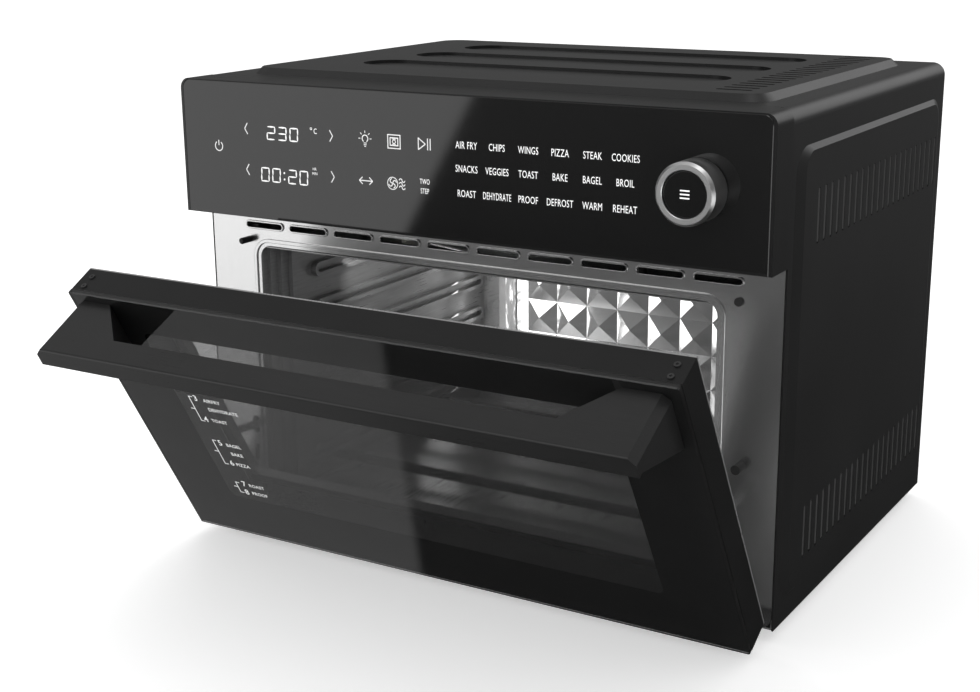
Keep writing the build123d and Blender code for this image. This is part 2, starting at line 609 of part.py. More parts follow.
# ================================================================ door
WINDOW_X, WINDOW_LOW, WINDOW_HIGH = 187.0, 46.0, 222.0
RAIL_LOW, RAIL_HIGH = 24.0, 230.0
FRAME_TOP = DOOR_L - 1.0
with BuildPart() as door_glass_outer:
    with BuildSketch(DOOR.offset(-DOOR_GLASS)):
        with Locations((0, DOOR_L / 2)):
            RectangleRounded(2 * DOOR_X, DOOR_L, 1.5)
        with Locations(*[(side * HANDLE_SCREW_X, along) for side in (-1, 1)
                         for along in (HANDLE_SCREW_LOW, HANDLE_SCREW_HIGH)]):
            Circle(2.1, mode=Mode.SUBTRACT)
    extrude(amount=DOOR_GLASS)
    front_face = door_glass_outer.faces().sort_by(Axis(DOOR.origin, outward))[-1]
    chamfer(front_face.outer_wire().edges(), 0.8)
finish(door_glass_outer, "door_glass_outer")

BACK = DOOR_T - SHEET
with BuildPart() as door_top_rail:
    door_box((-DOOR_X, DOOR_X), (RAIL_HIGH, FRAME_TOP), (DOOR_GLASS, BACK))
    door_box((-DOOR_X + 2, DOOR_X - 2), (RAIL_HIGH - 1, FRAME_TOP - 2.5), (DOOR_GLASS + 2, BACK + 1),
             mode=Mode.SUBTRACT)
    for side in (-1, 1):
        rod(DOOR, (side * HANDLE_SCREW_X, HANDLE_SCREW_HIGH), 2.1, -DOOR_GLASS - 3, -DOOR_GLASS + 1,
            mode=Mode.SUBTRACT)
finish(door_top_rail, "door_top_rail")

with BuildPart() as door_bottom_rail:
    door_box((-DOOR_X, DOOR_X), (0.6, RAIL_LOW), (DOOR_GLASS, BACK))
    door_box((-DOOR_X + 2, DOOR_X - 2), (10, RAIL_LOW + 1), (DOOR_GLASS + 2, BACK + 1), mode=Mode.SUBTRACT)
    for side in (-1, 1):
        # Slot for the hinge bracket, and the bore for its pin.
        door_box((side * HINGE_X - 2.3, side * HINGE_X + 2.3), (0, 7.6), (DOOR_GLASS + 0.1, BACK + 1),
                 mode=Mode.SUBTRACT)
        rod(SIDE, (HINGE_D, HINGE_H), HINGE_R, side * HINGE_X - HINGE_REACH, side * HINGE_X + HINGE_REACH,
            mode=Mode.SUBTRACT)
finish(door_bottom_rail, "door_bottom_rail")

with BuildPart() as hinge_pins:
    for side in (-1, 1):
        rod(SIDE, (HINGE_D, HINGE_H), HINGE_R, side * HINGE_X - HINGE_REACH, side * HINGE_X + HINGE_REACH)
        rod(SIDE, STAY_PLACE, 1.5, side * STAY_X - 4.6, side * STAY_X + 4.6)
finish(hinge_pins, "hinge_pins")

for side, name in ((-1, "left"), (1, "right")):
    with BuildPart() as door_stile:
        outer, inner = side * DOOR_X, side * (WINDOW_X + 3)
        door_box(sorted((outer, inner)), (RAIL_LOW, RAIL_HIGH), (DOOR_GLASS, BACK))
        door_box(sorted((outer - side * 2, inner + side * 2)), (RAIL_LOW - 1, RAIL_HIGH + 1),
                 (DOOR_GLASS + 2, BACK + 1), mode=Mode.SUBTRACT)
        rod(DOOR, (side * HANDLE_SCREW_X, HANDLE_SCREW_LOW), 2.1, -DOOR_GLASS - 3, -DOOR_GLASS + 1,
            mode=Mode.SUBTRACT)
    finish(door_stile, f"door_{name}_stile")

with BuildPart() as door_liner:
    door_box((-DOOR_X, DOOR_X), (0.6, FRAME_TOP), (BACK, DOOR_T))
    door_box((-WINDOW_X + 10, WINDOW_X - 10), (WINDOW_LOW + 6, WINDOW_HIGH - 6), (BACK - 1, DOOR_T + 1),
             mode=Mode.SUBTRACT)
    with BuildSketch(DOOR.offset(-DOOR_T - 6)):
        with Locations((0, (WINDOW_LOW + WINDOW_HIGH) / 2)):
            RectangleRounded(2 * WINDOW_X - 8, WINDOW_HIGH - WINDOW_LOW, 12)
            RectangleRounded(2 * WINDOW_X - 20, WINDOW_HIGH - WINDOW_LOW - 12, 7, mode=Mode.SUBTRACT)
    extrude(amount=6)
    for side in (-1, 1):
        door_box((side * HINGE_X - 2.3, side * HINGE_X + 2.3), (0, 7.6), (BACK - 1, DOOR_T + 1),
                 mode=Mode.SUBTRACT)
        # Two welded ears hold the stay arm's pin.
        for inner, outer in ((-3.6, -2.1), (2.1, 3.6)):
            near, far = side * STAY_X + inner, side * STAY_X + outer
            door_box((near, far), (STAY_L - 5, STAY_L + 5), (DOOR_T - 0.6, STAY_T + 3))
            rod(SIDE, STAY_PLACE, 1.5, near, far, mode=Mode.SUBTRACT)
finish(door_liner, "door_liner")

with BuildPart() as door_glass_inner:
    door_box((-WINDOW_X + 4, WINDOW_X - 4), (WINDOW_LOW, WINDOW_HIGH), (BACK - 4, BACK - 0.8))
finish(door_glass_inner, "door_glass_inner")

with BuildPart() as glass_gasket:
    with BuildSketch(DOOR.offset(-BACK)):
        with Locations((0, (WINDOW_LOW + WINDOW_HIGH) / 2)):
            RectangleRounded(2 * WINDOW_X - 8, WINDOW_HIGH - WINDOW_LOW, 4)
            RectangleRounded(2 * WINDOW_X - 19, WINDOW_HIGH - WINDOW_LOW - 11, 4, mode=Mode.SUBTRACT)
    extrude(amount=0.8)
finish(glass_gasket, "glass_gasket")

CUT_REAR, CUT_FRONT, CUT_T = 203.0, 174.0, 32.0
LIP_L, GUSSET_L = 233.5, 202.5
with BuildPart() as door_handle:
    with BuildSketch(Plane(DOOR.origin, x_dir=-outward, z_dir=(1, 0, 0)).offset(-HANDLE_X)):
        with BuildLine():
            Polyline((0, HANDLE_L), (-HANDLE_REACH, HANDLE_L), (-HANDLE_REACH - 0.5, LIP_L),
                     (-HANDLE_REACH + 4, LIP_L), (0, GUSSET_L), close=True)
        make_face()
    extrude(amount=2 * HANDLE_X)
    crest = [edge for edge in door_handle.edges()
             if abs((edge.center() - DOOR.origin).dot(upward) - HANDLE_L) < 0.01]
    chamfer([edge for edge in crest if abs(edge.center().X) > HANDLE_X - 1], 5)
    crest = [edge for edge in door_handle.edges().filter_by(Axis.X)
             if abs((edge.center() - DOOR.origin).dot(upward) - HANDLE_L) < 0.01]
    fillet([edge for edge in crest if (edge.center() - DOOR.origin).dot(outward) > HANDLE_REACH - 1], 2.0)
    # Finger opening between the glass and the front bar, wider at the glass.
    with BuildSketch(Plane(DOOR.origin + upward * (GUSSET_L - 5), x_dir=(1, 0, 0), z_dir=upward)):
        with BuildLine():
            Polyline((-CUT_REAR, 1), (-CUT_REAR, 0), (-CUT_FRONT, -CUT_T), (CUT_FRONT, -CUT_T),
                     (CUT_REAR, 0), (CUT_REAR, 1), close=True)
        make_face()
    extrude(amount=60, mode=Mode.SUBTRACT)
    door_box((-CUT_FRONT, CUT_FRONT), (GUSSET_L - 5, LIP_L), (-HANDLE_REACH - 2, 1), mode=Mode.SUBTRACT)
    for side in (-1, 1):
        for along in (HANDLE_SCREW_LOW, HANDLE_SCREW_HIGH):
            rod(DOOR, (side * HANDLE_SCREW_X, along), 1.9, -1, 12, mode=Mode.SUBTRACT)
finish(door_handle, "door_handle")

with BuildPart() as handle_screws:
    for side in (-1, 1):
        for along in (HANDLE_SCREW_LOW, HANDLE_SCREW_HIGH):
            rod(DOOR, (side * HANDLE_SCREW_X, along), 1.9, -DOOR_GLASS - 2, 11)
            rod(DOOR, (side * HANDLE_SCREW_X, along), 3.8, -DOOR_GLASS - 4.4, -DOOR_GLASS - 2)
finish(handle_screws, "handle_screws")

with BuildPart() as door_screws:
    top_plane = Plane(DOOR.origin + upward * FRAME_TOP, x_dir=(1, 0, 0), z_dir=upward)
    screw_head(top_plane, [(side * 232, t) for side in (-1, 1) for t in (9, 19)], 2.2, 0.9)
finish(door_screws, "door_screws")

for side, name in ((-1, "left"), (1, "right")):
    with BuildPart() as stay_arm:
        with BuildSketch(STAY.offset(side * STAY_X - 1.5)):
            with Locations((STAY_LENGTH / 2, 0)):
                SlotCenterToCenter(STAY_LENGTH, 6.4)
            Circle(1.56, mode=Mode.SUBTRACT)
        extrude(amount=3)
    finish(stay_arm, f"{name}_stay_arm")

# ================================================================ screws
with BuildPart() as case_screws:
    rear_spots = [(x, h) for x in (-226, 226) for h in (20, 180, 335)]
    screw_head(REAR.offset(REAR_SKIN), rear_spots, 3.6, 2.0)
    screw_head(BELOW.offset(3.5), [(x, -d) for x, d in FEET], 3.6, 2.0)
finish(case_screws, "case_screws")

os.makedirs("parts", exist_ok=True)
for part in finished:
    export_step(part, f"parts/{part.label}.step")
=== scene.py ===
import json
import math

import bmesh
import bpy
from mathutils import Matrix, Vector


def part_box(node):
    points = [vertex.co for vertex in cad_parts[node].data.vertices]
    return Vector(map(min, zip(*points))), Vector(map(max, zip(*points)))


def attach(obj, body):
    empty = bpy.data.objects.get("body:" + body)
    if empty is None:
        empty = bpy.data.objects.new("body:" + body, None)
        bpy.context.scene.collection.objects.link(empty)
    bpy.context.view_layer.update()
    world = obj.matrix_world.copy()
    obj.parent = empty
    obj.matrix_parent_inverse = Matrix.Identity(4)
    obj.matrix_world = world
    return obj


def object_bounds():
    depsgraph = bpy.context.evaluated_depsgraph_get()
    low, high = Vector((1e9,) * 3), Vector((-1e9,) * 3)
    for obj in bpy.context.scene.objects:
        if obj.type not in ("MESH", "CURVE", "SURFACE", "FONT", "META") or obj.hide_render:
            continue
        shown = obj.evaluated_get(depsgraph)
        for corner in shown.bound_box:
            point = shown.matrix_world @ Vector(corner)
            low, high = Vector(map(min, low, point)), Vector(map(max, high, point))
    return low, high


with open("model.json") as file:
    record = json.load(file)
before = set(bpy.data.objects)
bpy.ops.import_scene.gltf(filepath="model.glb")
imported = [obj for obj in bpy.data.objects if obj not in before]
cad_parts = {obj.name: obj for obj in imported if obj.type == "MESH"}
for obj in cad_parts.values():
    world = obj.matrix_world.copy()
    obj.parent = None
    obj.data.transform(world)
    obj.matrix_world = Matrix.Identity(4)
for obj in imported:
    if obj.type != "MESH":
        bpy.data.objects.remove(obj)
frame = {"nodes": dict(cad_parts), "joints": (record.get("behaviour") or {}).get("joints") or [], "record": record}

bl_info = {
    "name": "Countertop Convection Oven",
    "version": (1, 0, 0),
    "blender": (4, 5, 0),
    "location": "3D View > Sidebar > Oven",
    "description": "Finishes, printed marks, louvres and studio for a countertop convection oven",
    "category": "Object",
}

MM = 0.001
cad_low, cad_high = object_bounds()


# ---------------------------------------------------------------- where the oven's faces are

def joint(name):
    """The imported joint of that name."""
    return next(j for j in frame["joints"] if j["name"] == name)


def face_plane(corner, across, up):
    """Flat artwork in millimetres to a face of the oven: across and up lie in the face."""
    out = across.cross(up)
    place = Matrix((across, up, out)).transposed().to_4x4()
    place.translation = corner
    return place @ Matrix.Scale(MM, 4)


GLASS_FACE_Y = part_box("control_glass")[0].y
CASE_FOOT_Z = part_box("outer_cover")[0].z
DIAL_AXIS = Vector(joint("dial_turn")["pos_m"])
BUTTON_FACE_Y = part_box("menu_button")[0].y

DOOR_HINGE = Vector(joint("door_hinge")["pos_m"])
DOOR_TILT = math.radians(-joint("door_hinge")["range_deg"][0])
DOOR_UP = Vector((0, -math.sin(DOOR_TILT), math.cos(DOOR_TILT)))
DOOR_OUT = Vector((0, -math.cos(DOOR_TILT), -math.sin(DOOR_TILT)))
HINGE_BEHIND_FACE = 7.5 * MM
HINGE_ABOVE_EDGE = 3.5 * MM
DOOR_CORNER = DOOR_HINGE + DOOR_OUT * HINGE_BEHIND_FACE - DOOR_UP * HINGE_ABOVE_EDGE

X_AXIS, Z_AXIS = Vector((1, 0, 0)), Vector((0, 0, 1))
PANEL_FACE = face_plane(Vector((0, GLASS_FACE_Y, CASE_FOOT_Z)), X_AXIS, Z_AXIS)
DOOR_FACE = face_plane(DOOR_CORNER, X_AXIS, DOOR_UP)
BUTTON_FACE = face_plane(Vector((DIAL_AXIS.x, BUTTON_FACE_Y, DIAL_AXIS.z)), X_AXIS, Z_AXIS)

SLOT_OF = {part["node"]: part["material_slot"] for part in frame["record"]["subparts"]}


# ---------------------------------------------------------------- shared surface effects

def effect_group(name, inputs, outputs):
    """A shader node group with those sockets, and its input and output nodes."""
    group = bpy.data.node_groups.new(name, "ShaderNodeTree")
    for label, kind, default in inputs:
        made = group.interface.new_socket(label, in_out="INPUT", socket_type=kind)
        made.default_value = default
    for label, kind in outputs:
        group.interface.new_socket(label, in_out="OUTPUT", socket_type=kind)
    return group, group.nodes.new("NodeGroupInput"), group.nodes.new("NodeGroupOutput")


def math_node(tree, operation, first, second=0.0, clamp=False):
    """A Math node on two values or sockets, and its result."""
    node = tree.nodes.new("ShaderNodeMath")
    node.operation = operation
    node.use_clamp = clamp
    for socket, value in zip(node.inputs, (first, second)):
        if isinstance(value, (int, float)):
            socket.default_value = value
        else:
            tree.links.new(value, socket)
    return node.outputs[0]


def mixed_colour(tree, factor, first, second):
    """A colour mix of two sockets."""
    node = tree.nodes.new("ShaderNodeMix")
    node.data_type = "RGBA"
    tree.links.new(factor, node.inputs[0])
    tree.links.new(first, node.inputs[6])
    tree.links.new(second, node.inputs[7])
    return node.outputs[2]


def noise(tree, where, scale, detail):
    """A noise texture read at that vector."""
    node = tree.nodes.new("ShaderNodeTexNoise")
    node.inputs["Detail"].default_value = detail
    tree.links.new(where, node.inputs["Vector"])
    tree.links.new(scale, node.inputs["Scale"])
    return node.outputs[0]


def grain_effect():
    """Surface grain: a fine texture, stretched along one direction if need be, over slow clouds."""
    colour = "NodeSocketColor"
    number = "NodeSocketFloat"
    group, given, result = effect_group(
        "surface_grain",
        [("Colour", colour, (0.5, 0.5, 0.5, 1)), ("Cloud Colour", colour, (0.4, 0.4, 0.4, 1)),
         ("Roughness", number, 0.5), ("Roughness Spread", number, 0.1),
         ("Grain", number, 2000.0), ("Clouds", number, 12.0),
         ("Stretch", "NodeSocketVector", (1, 1, 1)), ("Turn", "NodeSocketVector", (0, 0, 0))],
        [("Colour", colour), ("Roughness", number), ("Height", number)],
    )
    where = group.nodes.new("ShaderNodeTexCoord")
    turned = group.nodes.new("ShaderNodeMapping")
    group.links.new(where.outputs["Object"], turned.inputs["Vector"])
    group.links.new(given.outputs["Turn"], turned.inputs["Rotation"])
    group.links.new(given.outputs["Stretch"], turned.inputs["Scale"])
    fine = noise(group, turned.outputs[0], given.outputs["Grain"], 3.0)
    clouds = noise(group, where.outputs["Object"], given.outputs["Clouds"], 4.0)
    shade = math_node(group, "MULTIPLY_ADD", fine, 0.45)
    cloud_share = math_node(group, "MULTIPLY", clouds, 0.55)
    group.links.new(cloud_share, shade.node.inputs[2])
    centred = math_node(group, "SUBTRACT", shade, 0.5)
    swing = math_node(group, "MULTIPLY", centred, given.outputs["Roughness Spread"])
    doubled = math_node(group, "MULTIPLY", swing, 4.0)
    rough = math_node(group, "ADD", given.outputs["Roughness"], doubled, clamp=True)
    contrast = math_node(group, "MULTIPLY_ADD", centred, 3.0)
    contrast.node.inputs[2].default_value = 0.5
    contrast.node.use_clamp = True
    group.links.new(
        mixed_colour(group, contrast, given.outputs["Colour"], given.outputs["Cloud Colour"]),
        result.inputs["Colour"])
    group.links.new(rough, result.inputs["Roughness"])
    group.links.new(fine, result.inputs["Height"])
    return group


def turned_effect():
    """Fine rings left by a lathe round an axis along Y: a texture that changes with the radius only."""
    colour = "NodeSocketColor"
    number = "NodeSocketFloat"
    group, given, result = effect_group(
        "turned_rings",
        [("Colour", colour, (0.5, 0.5, 0.5, 1)), ("Ring Colour", colour, (0.4, 0.4, 0.4, 1)),
         ("Roughness", number, 0.25), ("Roughness Spread", number, 0.1),
         ("Rings", number, 1500.0), ("Centre", "NodeSocketVector", (0, 0, 0))],
        [("Colour", colour), ("Roughness", number), ("Height", number)],
    )
    where = group.nodes.new("ShaderNodeTexCoord")
    moved = group.nodes.new("ShaderNodeVectorMath")
    moved.operation = "SUBTRACT"
    group.links.new(where.outputs["Object"], moved.inputs[0])
    group.links.new(given.outputs["Centre"], moved.inputs[1])
    flat = group.nodes.new("ShaderNodeVectorMath")
    flat.operation = "MULTIPLY"
    flat.inputs[1].default_value = (1, 0, 1)
    group.links.new(moved.outputs[0], flat.inputs[0])
    radius = group.nodes.new("ShaderNodeVectorMath")
    radius.operation = "LENGTH"
    group.links.new(flat.outputs[0], radius.inputs[0])
    across = group.nodes.new("ShaderNodeCombineXYZ")
    group.links.new(radius.outputs["Value"], across.inputs[0])
    rings = noise(group, across.outputs[0], given.outputs["Rings"], 2.0)
    centred = math_node(group, "SUBTRACT", rings, 0.5)
    swing = math_node(group, "MULTIPLY", centred, given.outputs["Roughness Spread"])
    doubled = math_node(group, "MULTIPLY", swing, 3.0)
    rough = math_node(group, "ADD", given.outputs["Roughness"], doubled, clamp=True)
    group.links.new(
        mixed_colour(group, rings, given.outputs["Colour"], given.outputs["Ring Colour"]),
        result.inputs["Colour"])
    group.links.new(rough, result.inputs["Roughness"])
    group.links.new(rings, result.inputs["Height"])
    return group


EFFECTS = {}


def effect(name):
    """The shared effect of that name, built the first time it is needed."""
    if name not in EFFECTS:
        EFFECTS[name] = {"surface_grain": grain_effect, "turned_rings": turned_effect}[name]()
    return EFFECTS[name]


# ---------------------------------------------------------------- finishes

def grey(value):
    """A neutral colour of that linear value."""
    return (value, value, value, 1.0)


def finish(name, effect_name, effect_values, bump, **shader_values):
    """A material: one Principled shader with plain values, and one shared effect on its surface."""
    material = bpy.data.materials.new(name)
    material.use_nodes = True
    tree = material.node_tree
    shader = tree.nodes["Principled BSDF"]
    for label, value in shader_values.items():
        shader.inputs[label.replace("_", " ")].default_value = value
    surface = tree.nodes.new("ShaderNodeGroup")
    surface.node_tree = effect(effect_name)
    for label, value in effect_values.items():
        surface.inputs[label].default_value = value
    tree.links.new(surface.outputs["Colour"], shader.inputs["Base Color"])
    tree.links.new(surface.outputs["Roughness"], shader.inputs["Roughness"])
    if bump:
        relief = tree.nodes.new("ShaderNodeBump")
        relief.inputs["Strength"].default_value = bump[0]
        relief.inputs["Distance"].default_value = bump[1] * MM
        tree.links.new(surface.outputs["Height"], relief.inputs["Height"])
        tree.links.new(relief.outputs[0], shader.inputs["Normal"])
    return material


def grain(colour, cloud, rough, spread, size, clouds=12.0, stretch=(1, 1, 1), turn=(0, 0, 0)):
    """Values for the surface_grain effect. A grain of 1000 is about one lump to a millimetre."""
    return {"Colour": grey(colour), "Cloud Colour": grey(cloud), "Roughness": rough,
            "Roughness Spread": spread, "Grain": size, "Clouds": clouds,
            "Stretch": stretch, "Turn": turn}


def case_paint(settings):
    """Satin black powder coat with a fine orange peel."""
    tone = settings.paint_tone
    return finish("case_paint", "surface_grain",
                  grain(tone, tone * 1.5, 0.34, 0.05, 1400.0, 9.0), (0.12, 0.05),
                  Specular_IOR_Level=0.42, Coat_Weight=0.08, Coat_Roughness=0.2)


def housing_plastic(settings):
    """Smooth satin black moulding round the control glass."""
    tone = settings.paint_tone
    return finish("housing_plastic", "surface_grain",
                  grain(tone * 0.8, tone * 1.2, 0.30, 0.05, 2200.0, 15.0), (0.08, 0.03),
                  Specular_IOR_Level=0.42)


def black_plastic(settings):
    """Fine-textured black moulding of the door frame, inlet and switch."""
    tone = settings.paint_tone
    return finish("black_plastic", "surface_grain",
                  grain(tone * 0.7, tone * 1.2, 0.38, 0.06, 1800.0, 20.0), (0.15, 0.04),
                  Specular_IOR_Level=0.27)


def handle_finish(settings):
    """Anodised black of the door handle, with a faint drawn grain along it."""
    return finish("handle_finish", "surface_grain",
                  grain(settings.handle_tone, settings.handle_tone * 1.5, 0.30, 0.06, 900.0, 8.0,
                        stretch=(0.04, 1, 1)), (0.06, 0.03),
                  Specular_IOR_Level=0.38, Coat_Weight=0.05, Coat_Roughness=0.12)


def galvanised(settings):
    """Galvanised sheet with its broad spangle."""
    return finish("galvanised", "surface_grain",
                  grain(0.36, 0.50, 0.42, 0.12, 260.0, 60.0), (0.08, 0.03), Metallic=0.85)


def front_steel(settings):
    """Bright polished sheet of the oven's front, with faint rolling lines."""
    return finish("front_steel", "surface_grain",
                  grain(settings.front_steel_tone, settings.front_steel_tone * 0.94, 0.21, 0.02,
                        1200.0, 7.0, stretch=(1, 1, 0.2)), (0.02, 0.01), Metallic=1.0)


def cavity_steel(settings):
    """Satin stainless sheet of the baking chamber, with drawn lines front to back."""
    return finish("cavity_steel", "surface_grain",
                  grain(settings.cavity_tone, settings.cavity_tone * 0.72, 0.30, 0.08,
                        800.0, 9.0, stretch=(1, 0.04, 1)), (0.08, 0.03), Metallic=0.65)


def mirror_steel(settings):
    """Bright embossed reflector."""
    return finish("mirror_steel", "surface_grain",
                  grain(0.92, 0.82, 0.12, 0.03, 900.0, 24.0), (0.02, 0.02), Metallic=0.78)


def corner_foil(settings):
    """The same bright sheet, crinkled, on the strip in the chamber's rear corner."""
    return finish("corner_foil", "surface_grain",
                  grain(0.95, 0.80, 0.18, 0.08, 130.0, 60.0, stretch=(1, 1, 0.45)), (1.0, 1.6),
                  Metallic=0.5)


def element_steel(settings):
    """Tubular heating element, dulled by heat."""
    return finish("element_steel", "surface_grain",
                  grain(0.09, 0.05, 0.50, 0.14, 1600.0, 30.0), (0.2, 0.05), Metallic=0.6)


def pin_steel(settings):
    """Ground steel of pins, shafts and stay arms."""
    return finish("pin_steel", "surface_grain",
                  grain(0.46, 0.36, 0.26, 0.08, 1500.0, 40.0, stretch=(0.1, 1, 1)), (0.06, 0.02),
                  Metallic=1.0)


def screw_steel(settings):
    """Blackened screw heads."""
    return finish("screw_steel", "surface_grain",
                  grain(0.05, 0.09, 0.36, 0.10, 1800.0, 60.0), (0.1, 0.02), Metallic=0.7)


def motor_metal(settings):
    """Zinc-plated motor can."""
    return finish("motor_metal", "surface_grain",
                  grain(0.40, 0.30, 0.36, 0.10, 1100.0, 35.0), (0.08, 0.03), Metallic=0.9)


def fan_metal(settings):
    """Pressed sheet fan blades."""
    return finish("fan_metal", "surface_grain",
                  grain(0.48, 0.38, 0.32, 0.10, 1000.0, 30.0), (0.08, 0.03), Metallic=0.9)


def ceramic(settings):
    """Steatite insulators and lamp socket."""
    return finish("ceramic", "surface_grain",
                  {**grain(0.62, 0.55, 0.42, 0.10, 1500.0, 50.0),
                   "Colour": (0.66, 0.63, 0.57, 1)}, (0.15, 0.03))


def rubber(settings):
    """Matt rubber feet."""
    return finish("rubber", "surface_grain",
                  grain(0.018, 0.030, 0.72, 0.10, 2400.0, 60.0), (0.3, 0.05), Specular_IOR_Level=0.3)


def silicone(settings):
    """Dark silicone bumpers and glass gasket."""
    return finish("silicone", "surface_grain",
                  grain(0.022, 0.034, 0.55, 0.08, 2000.0, 50.0), (0.15, 0.03), Specular_IOR_Level=0.4)


def board(settings):
    """Circuit board under green lacquer."""
    return finish("board", "surface_grain",
                  {**grain(0.05, 0.03, 0.35, 0.08, 1700.0, 90.0),
                   "Colour": (0.012, 0.085, 0.040, 1), "Cloud Colour": (0.020, 0.120, 0.055, 1)},
                  (0.1, 0.03))


def electronics(settings):
    """Moulded component cases."""
    return finish("electronics", "surface_grain",
                  grain(0.03, 0.05, 0.45, 0.08, 1500.0, 80.0), (0.15, 0.03))


def panel_glass(settings):
    """Black-backed control glass."""
    return finish("panel_glass", "surface_grain",
                  grain(0.0105, 0.0125, 0.035, 0.012, 300.0, 10.0), None,
                  Specular_IOR_Level=0.58)


def dial_black(settings):
    """Gloss black face of the menu button."""
    return finish("dial_black", "turned_rings",
                  {"Colour": grey(0.006), "Ring Colour": grey(0.012), "Roughness": 0.13,
                   "Roughness Spread": 0.03, "Rings": 900.0, "Centre": DIAL_AXIS}, None)


def dial_chrome(settings):
    """Turned, brushed chrome of the dial ring."""
    return finish("dial_chrome", "turned_rings",
                  {"Colour": grey(0.80), "Ring Colour": grey(0.62), "Roughness": 0.34,
                   "Roughness Spread": 0.10, "Rings": 2600.0, "Centre": DIAL_AXIS}, (0.10, 0.02),
                  Metallic=1.0, Anisotropic=0.5)


def clear_glass(name, tone, smear):
    """Tempered glass with faint smears."""
    return finish(name, "surface_grain", grain(tone, tone * 0.94, 0.02, smear, 200.0, 8.0), None,
                  Transmission_Weight=1.0, IOR=1.5)


def door_glass(settings):
    """Grey-tinted outer glass of the door."""
    return clear_glass("door_glass", settings.glass_tone, 0.004)


def inner_glass(settings):
    """Clear inner glass of the door."""
    return clear_glass("inner_glass", 0.93, 0.006)


def lamp_glass(settings):
    """Thick clear glass of the oven lamp."""
    return clear_glass("lamp_glass", 0.96, 0.01)


FINISHES = (case_paint, housing_plastic, black_plastic, handle_finish, galvanised, front_steel,
            cavity_steel, mirror_steel, element_steel, pin_steel, screw_steel, motor_metal,
            fan_metal, ceramic, rubber, silicone, board, electronics, panel_glass, dial_black,
            dial_chrome, door_glass, inner_glass, lamp_glass)


def glowing_mark(name, tone, glow):
    """Lit or printed mark: a pale ink whose glow varies slightly. On a printed mark the glow is painted light."""
    material = finish(name, "surface_grain", grain(tone, tone * 0.94, 0.5, 0.05, 1500.0, 60.0), None,
                      Specular_IOR_Level=0.2, Emission_Strength=glow)
    tree = material.node_tree
    surface = next(node for node in tree.nodes if node.type == "GROUP")
    tree.links.new(surface.outputs["Colour"], tree.nodes["Principled BSDF"].inputs["Emission Color"])
    return material


def opaque_print(settings):
    """Black ceramic print baked on to the back of the door glass."""
    return finish("opaque_print", "surface_grain", grain(0.085, 0.10, 0.6, 0.05, 1200.0, 30.0), None,
                  Specular_IOR_Level=0.0)


def louvre_paint(settings):
    """Powder coat on the louvre blades, a little paler all over than the same powder coat on the case: a painted
    highlight standing in for the light their edges catch.
    """
    # The blade tone is a lighter copy of the case's powder coat: painted highlight, not a different coat.
    tone = settings.louvre_tone
    return finish("louvre_paint", "surface_grain",
                  grain(tone, tone * 1.3, 0.42, 0.05, 1400.0, 9.0), (0.12, 0.05),
                  Specular_IOR_Level=0.45)


# ---------------------------------------------------------------- drawing helpers

def turn_outward(mesh):
    """Makes the faces of each separate shell point out of it."""
    bmesh.ops.recalc_face_normals(mesh, faces=mesh.faces)
    mesh.normal_update()
    waiting = set(mesh.faces)
    while waiting:
        shell = [waiting.pop()]
        for face in shell:
            for near in {f for edge in face.edges for f in edge.link_faces} & waiting:
                waiting.remove(near)
                shell.append(near)
        volume = sum(face.calc_area() * face.normal.dot(face.calc_center_median()) for face in shell)
        if volume < 0:
            bmesh.ops.reverse_faces(mesh, faces=shell)


def keep_piece(mesh, name, material, body):
    """Turns the finished bmesh into a piece that rides on its body."""
    bmesh.ops.remove_doubles(mesh, verts=mesh.verts, dist=1e-7)
    if not mesh.faces:
        raise RuntimeError(f"{name} has no faces")
    turn_outward(mesh)
    data = bpy.data.meshes.new(name)
    mesh.to_mesh(data)
    mesh.free()
    data.materials.append(material)
    piece = bpy.data.objects.new(name, data)
    bpy.context.scene.collection.objects.link(piece)
    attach(piece, body)
    return piece


def raise_artwork(mesh, thickness, plane):
    """Gives flat artwork its thickness, and puts it on a face of the oven."""
    bmesh.ops.remove_doubles(mesh, verts=mesh.verts, dist=1e-4)
    grown = bmesh.ops.extrude_face_region(mesh, geom=mesh.faces[:])["geom"]
    top = [v for v in grown if isinstance(v, bmesh.types.BMVert)]
    bmesh.ops.translate(mesh, verts=top, vec=(0, 0, thickness))
    bmesh.ops.transform(mesh, matrix=plane, verts=mesh.verts)


def stroke(mesh, centre, length, width, degrees=0.0):
    """A straight stroke of the artwork."""
    made = bmesh.ops.create_grid(mesh, x_segments=1, y_segments=1, size=0.5)["verts"]
    bmesh.ops.scale(mesh, verts=made, vec=(length, width, 1))
    turn = Matrix.Rotation(math.radians(degrees), 3, "Z")
    bmesh.ops.rotate(mesh, verts=made, cent=(0, 0, 0), matrix=turn)
    bmesh.ops.translate(mesh, verts=made, vec=(centre[0], centre[1], 0))
    return made


def segment(mesh, centre, length, width, upright):
    """One pointed bar of a seven-segment figure."""
    made = bmesh.ops.create_circle(
        mesh, cap_ends=True, segments=6, radius=width / math.sqrt(3))["verts"]
    ahead = [v for v in made if v.co.x > 0.01 * width]
    behind = [v for v in made if v.co.x < -0.01 * width]
    if len(ahead) != len(behind):
        raise RuntimeError("the segment's hexagon isn't symmetrical")
    half = (length - width) / 2
    bmesh.ops.translate(mesh, verts=ahead, vec=(half, 0, 0))
    bmesh.ops.translate(mesh, verts=behind, vec=(-half, 0, 0))
    if upright:
        bmesh.ops.rotate(mesh, verts=made, cent=(0, 0, 0), matrix=Matrix.Rotation(math.pi / 2, 3, "Z"))
    bmesh.ops.translate(mesh, verts=made, vec=(centre[0], centre[1], 0))
    return made


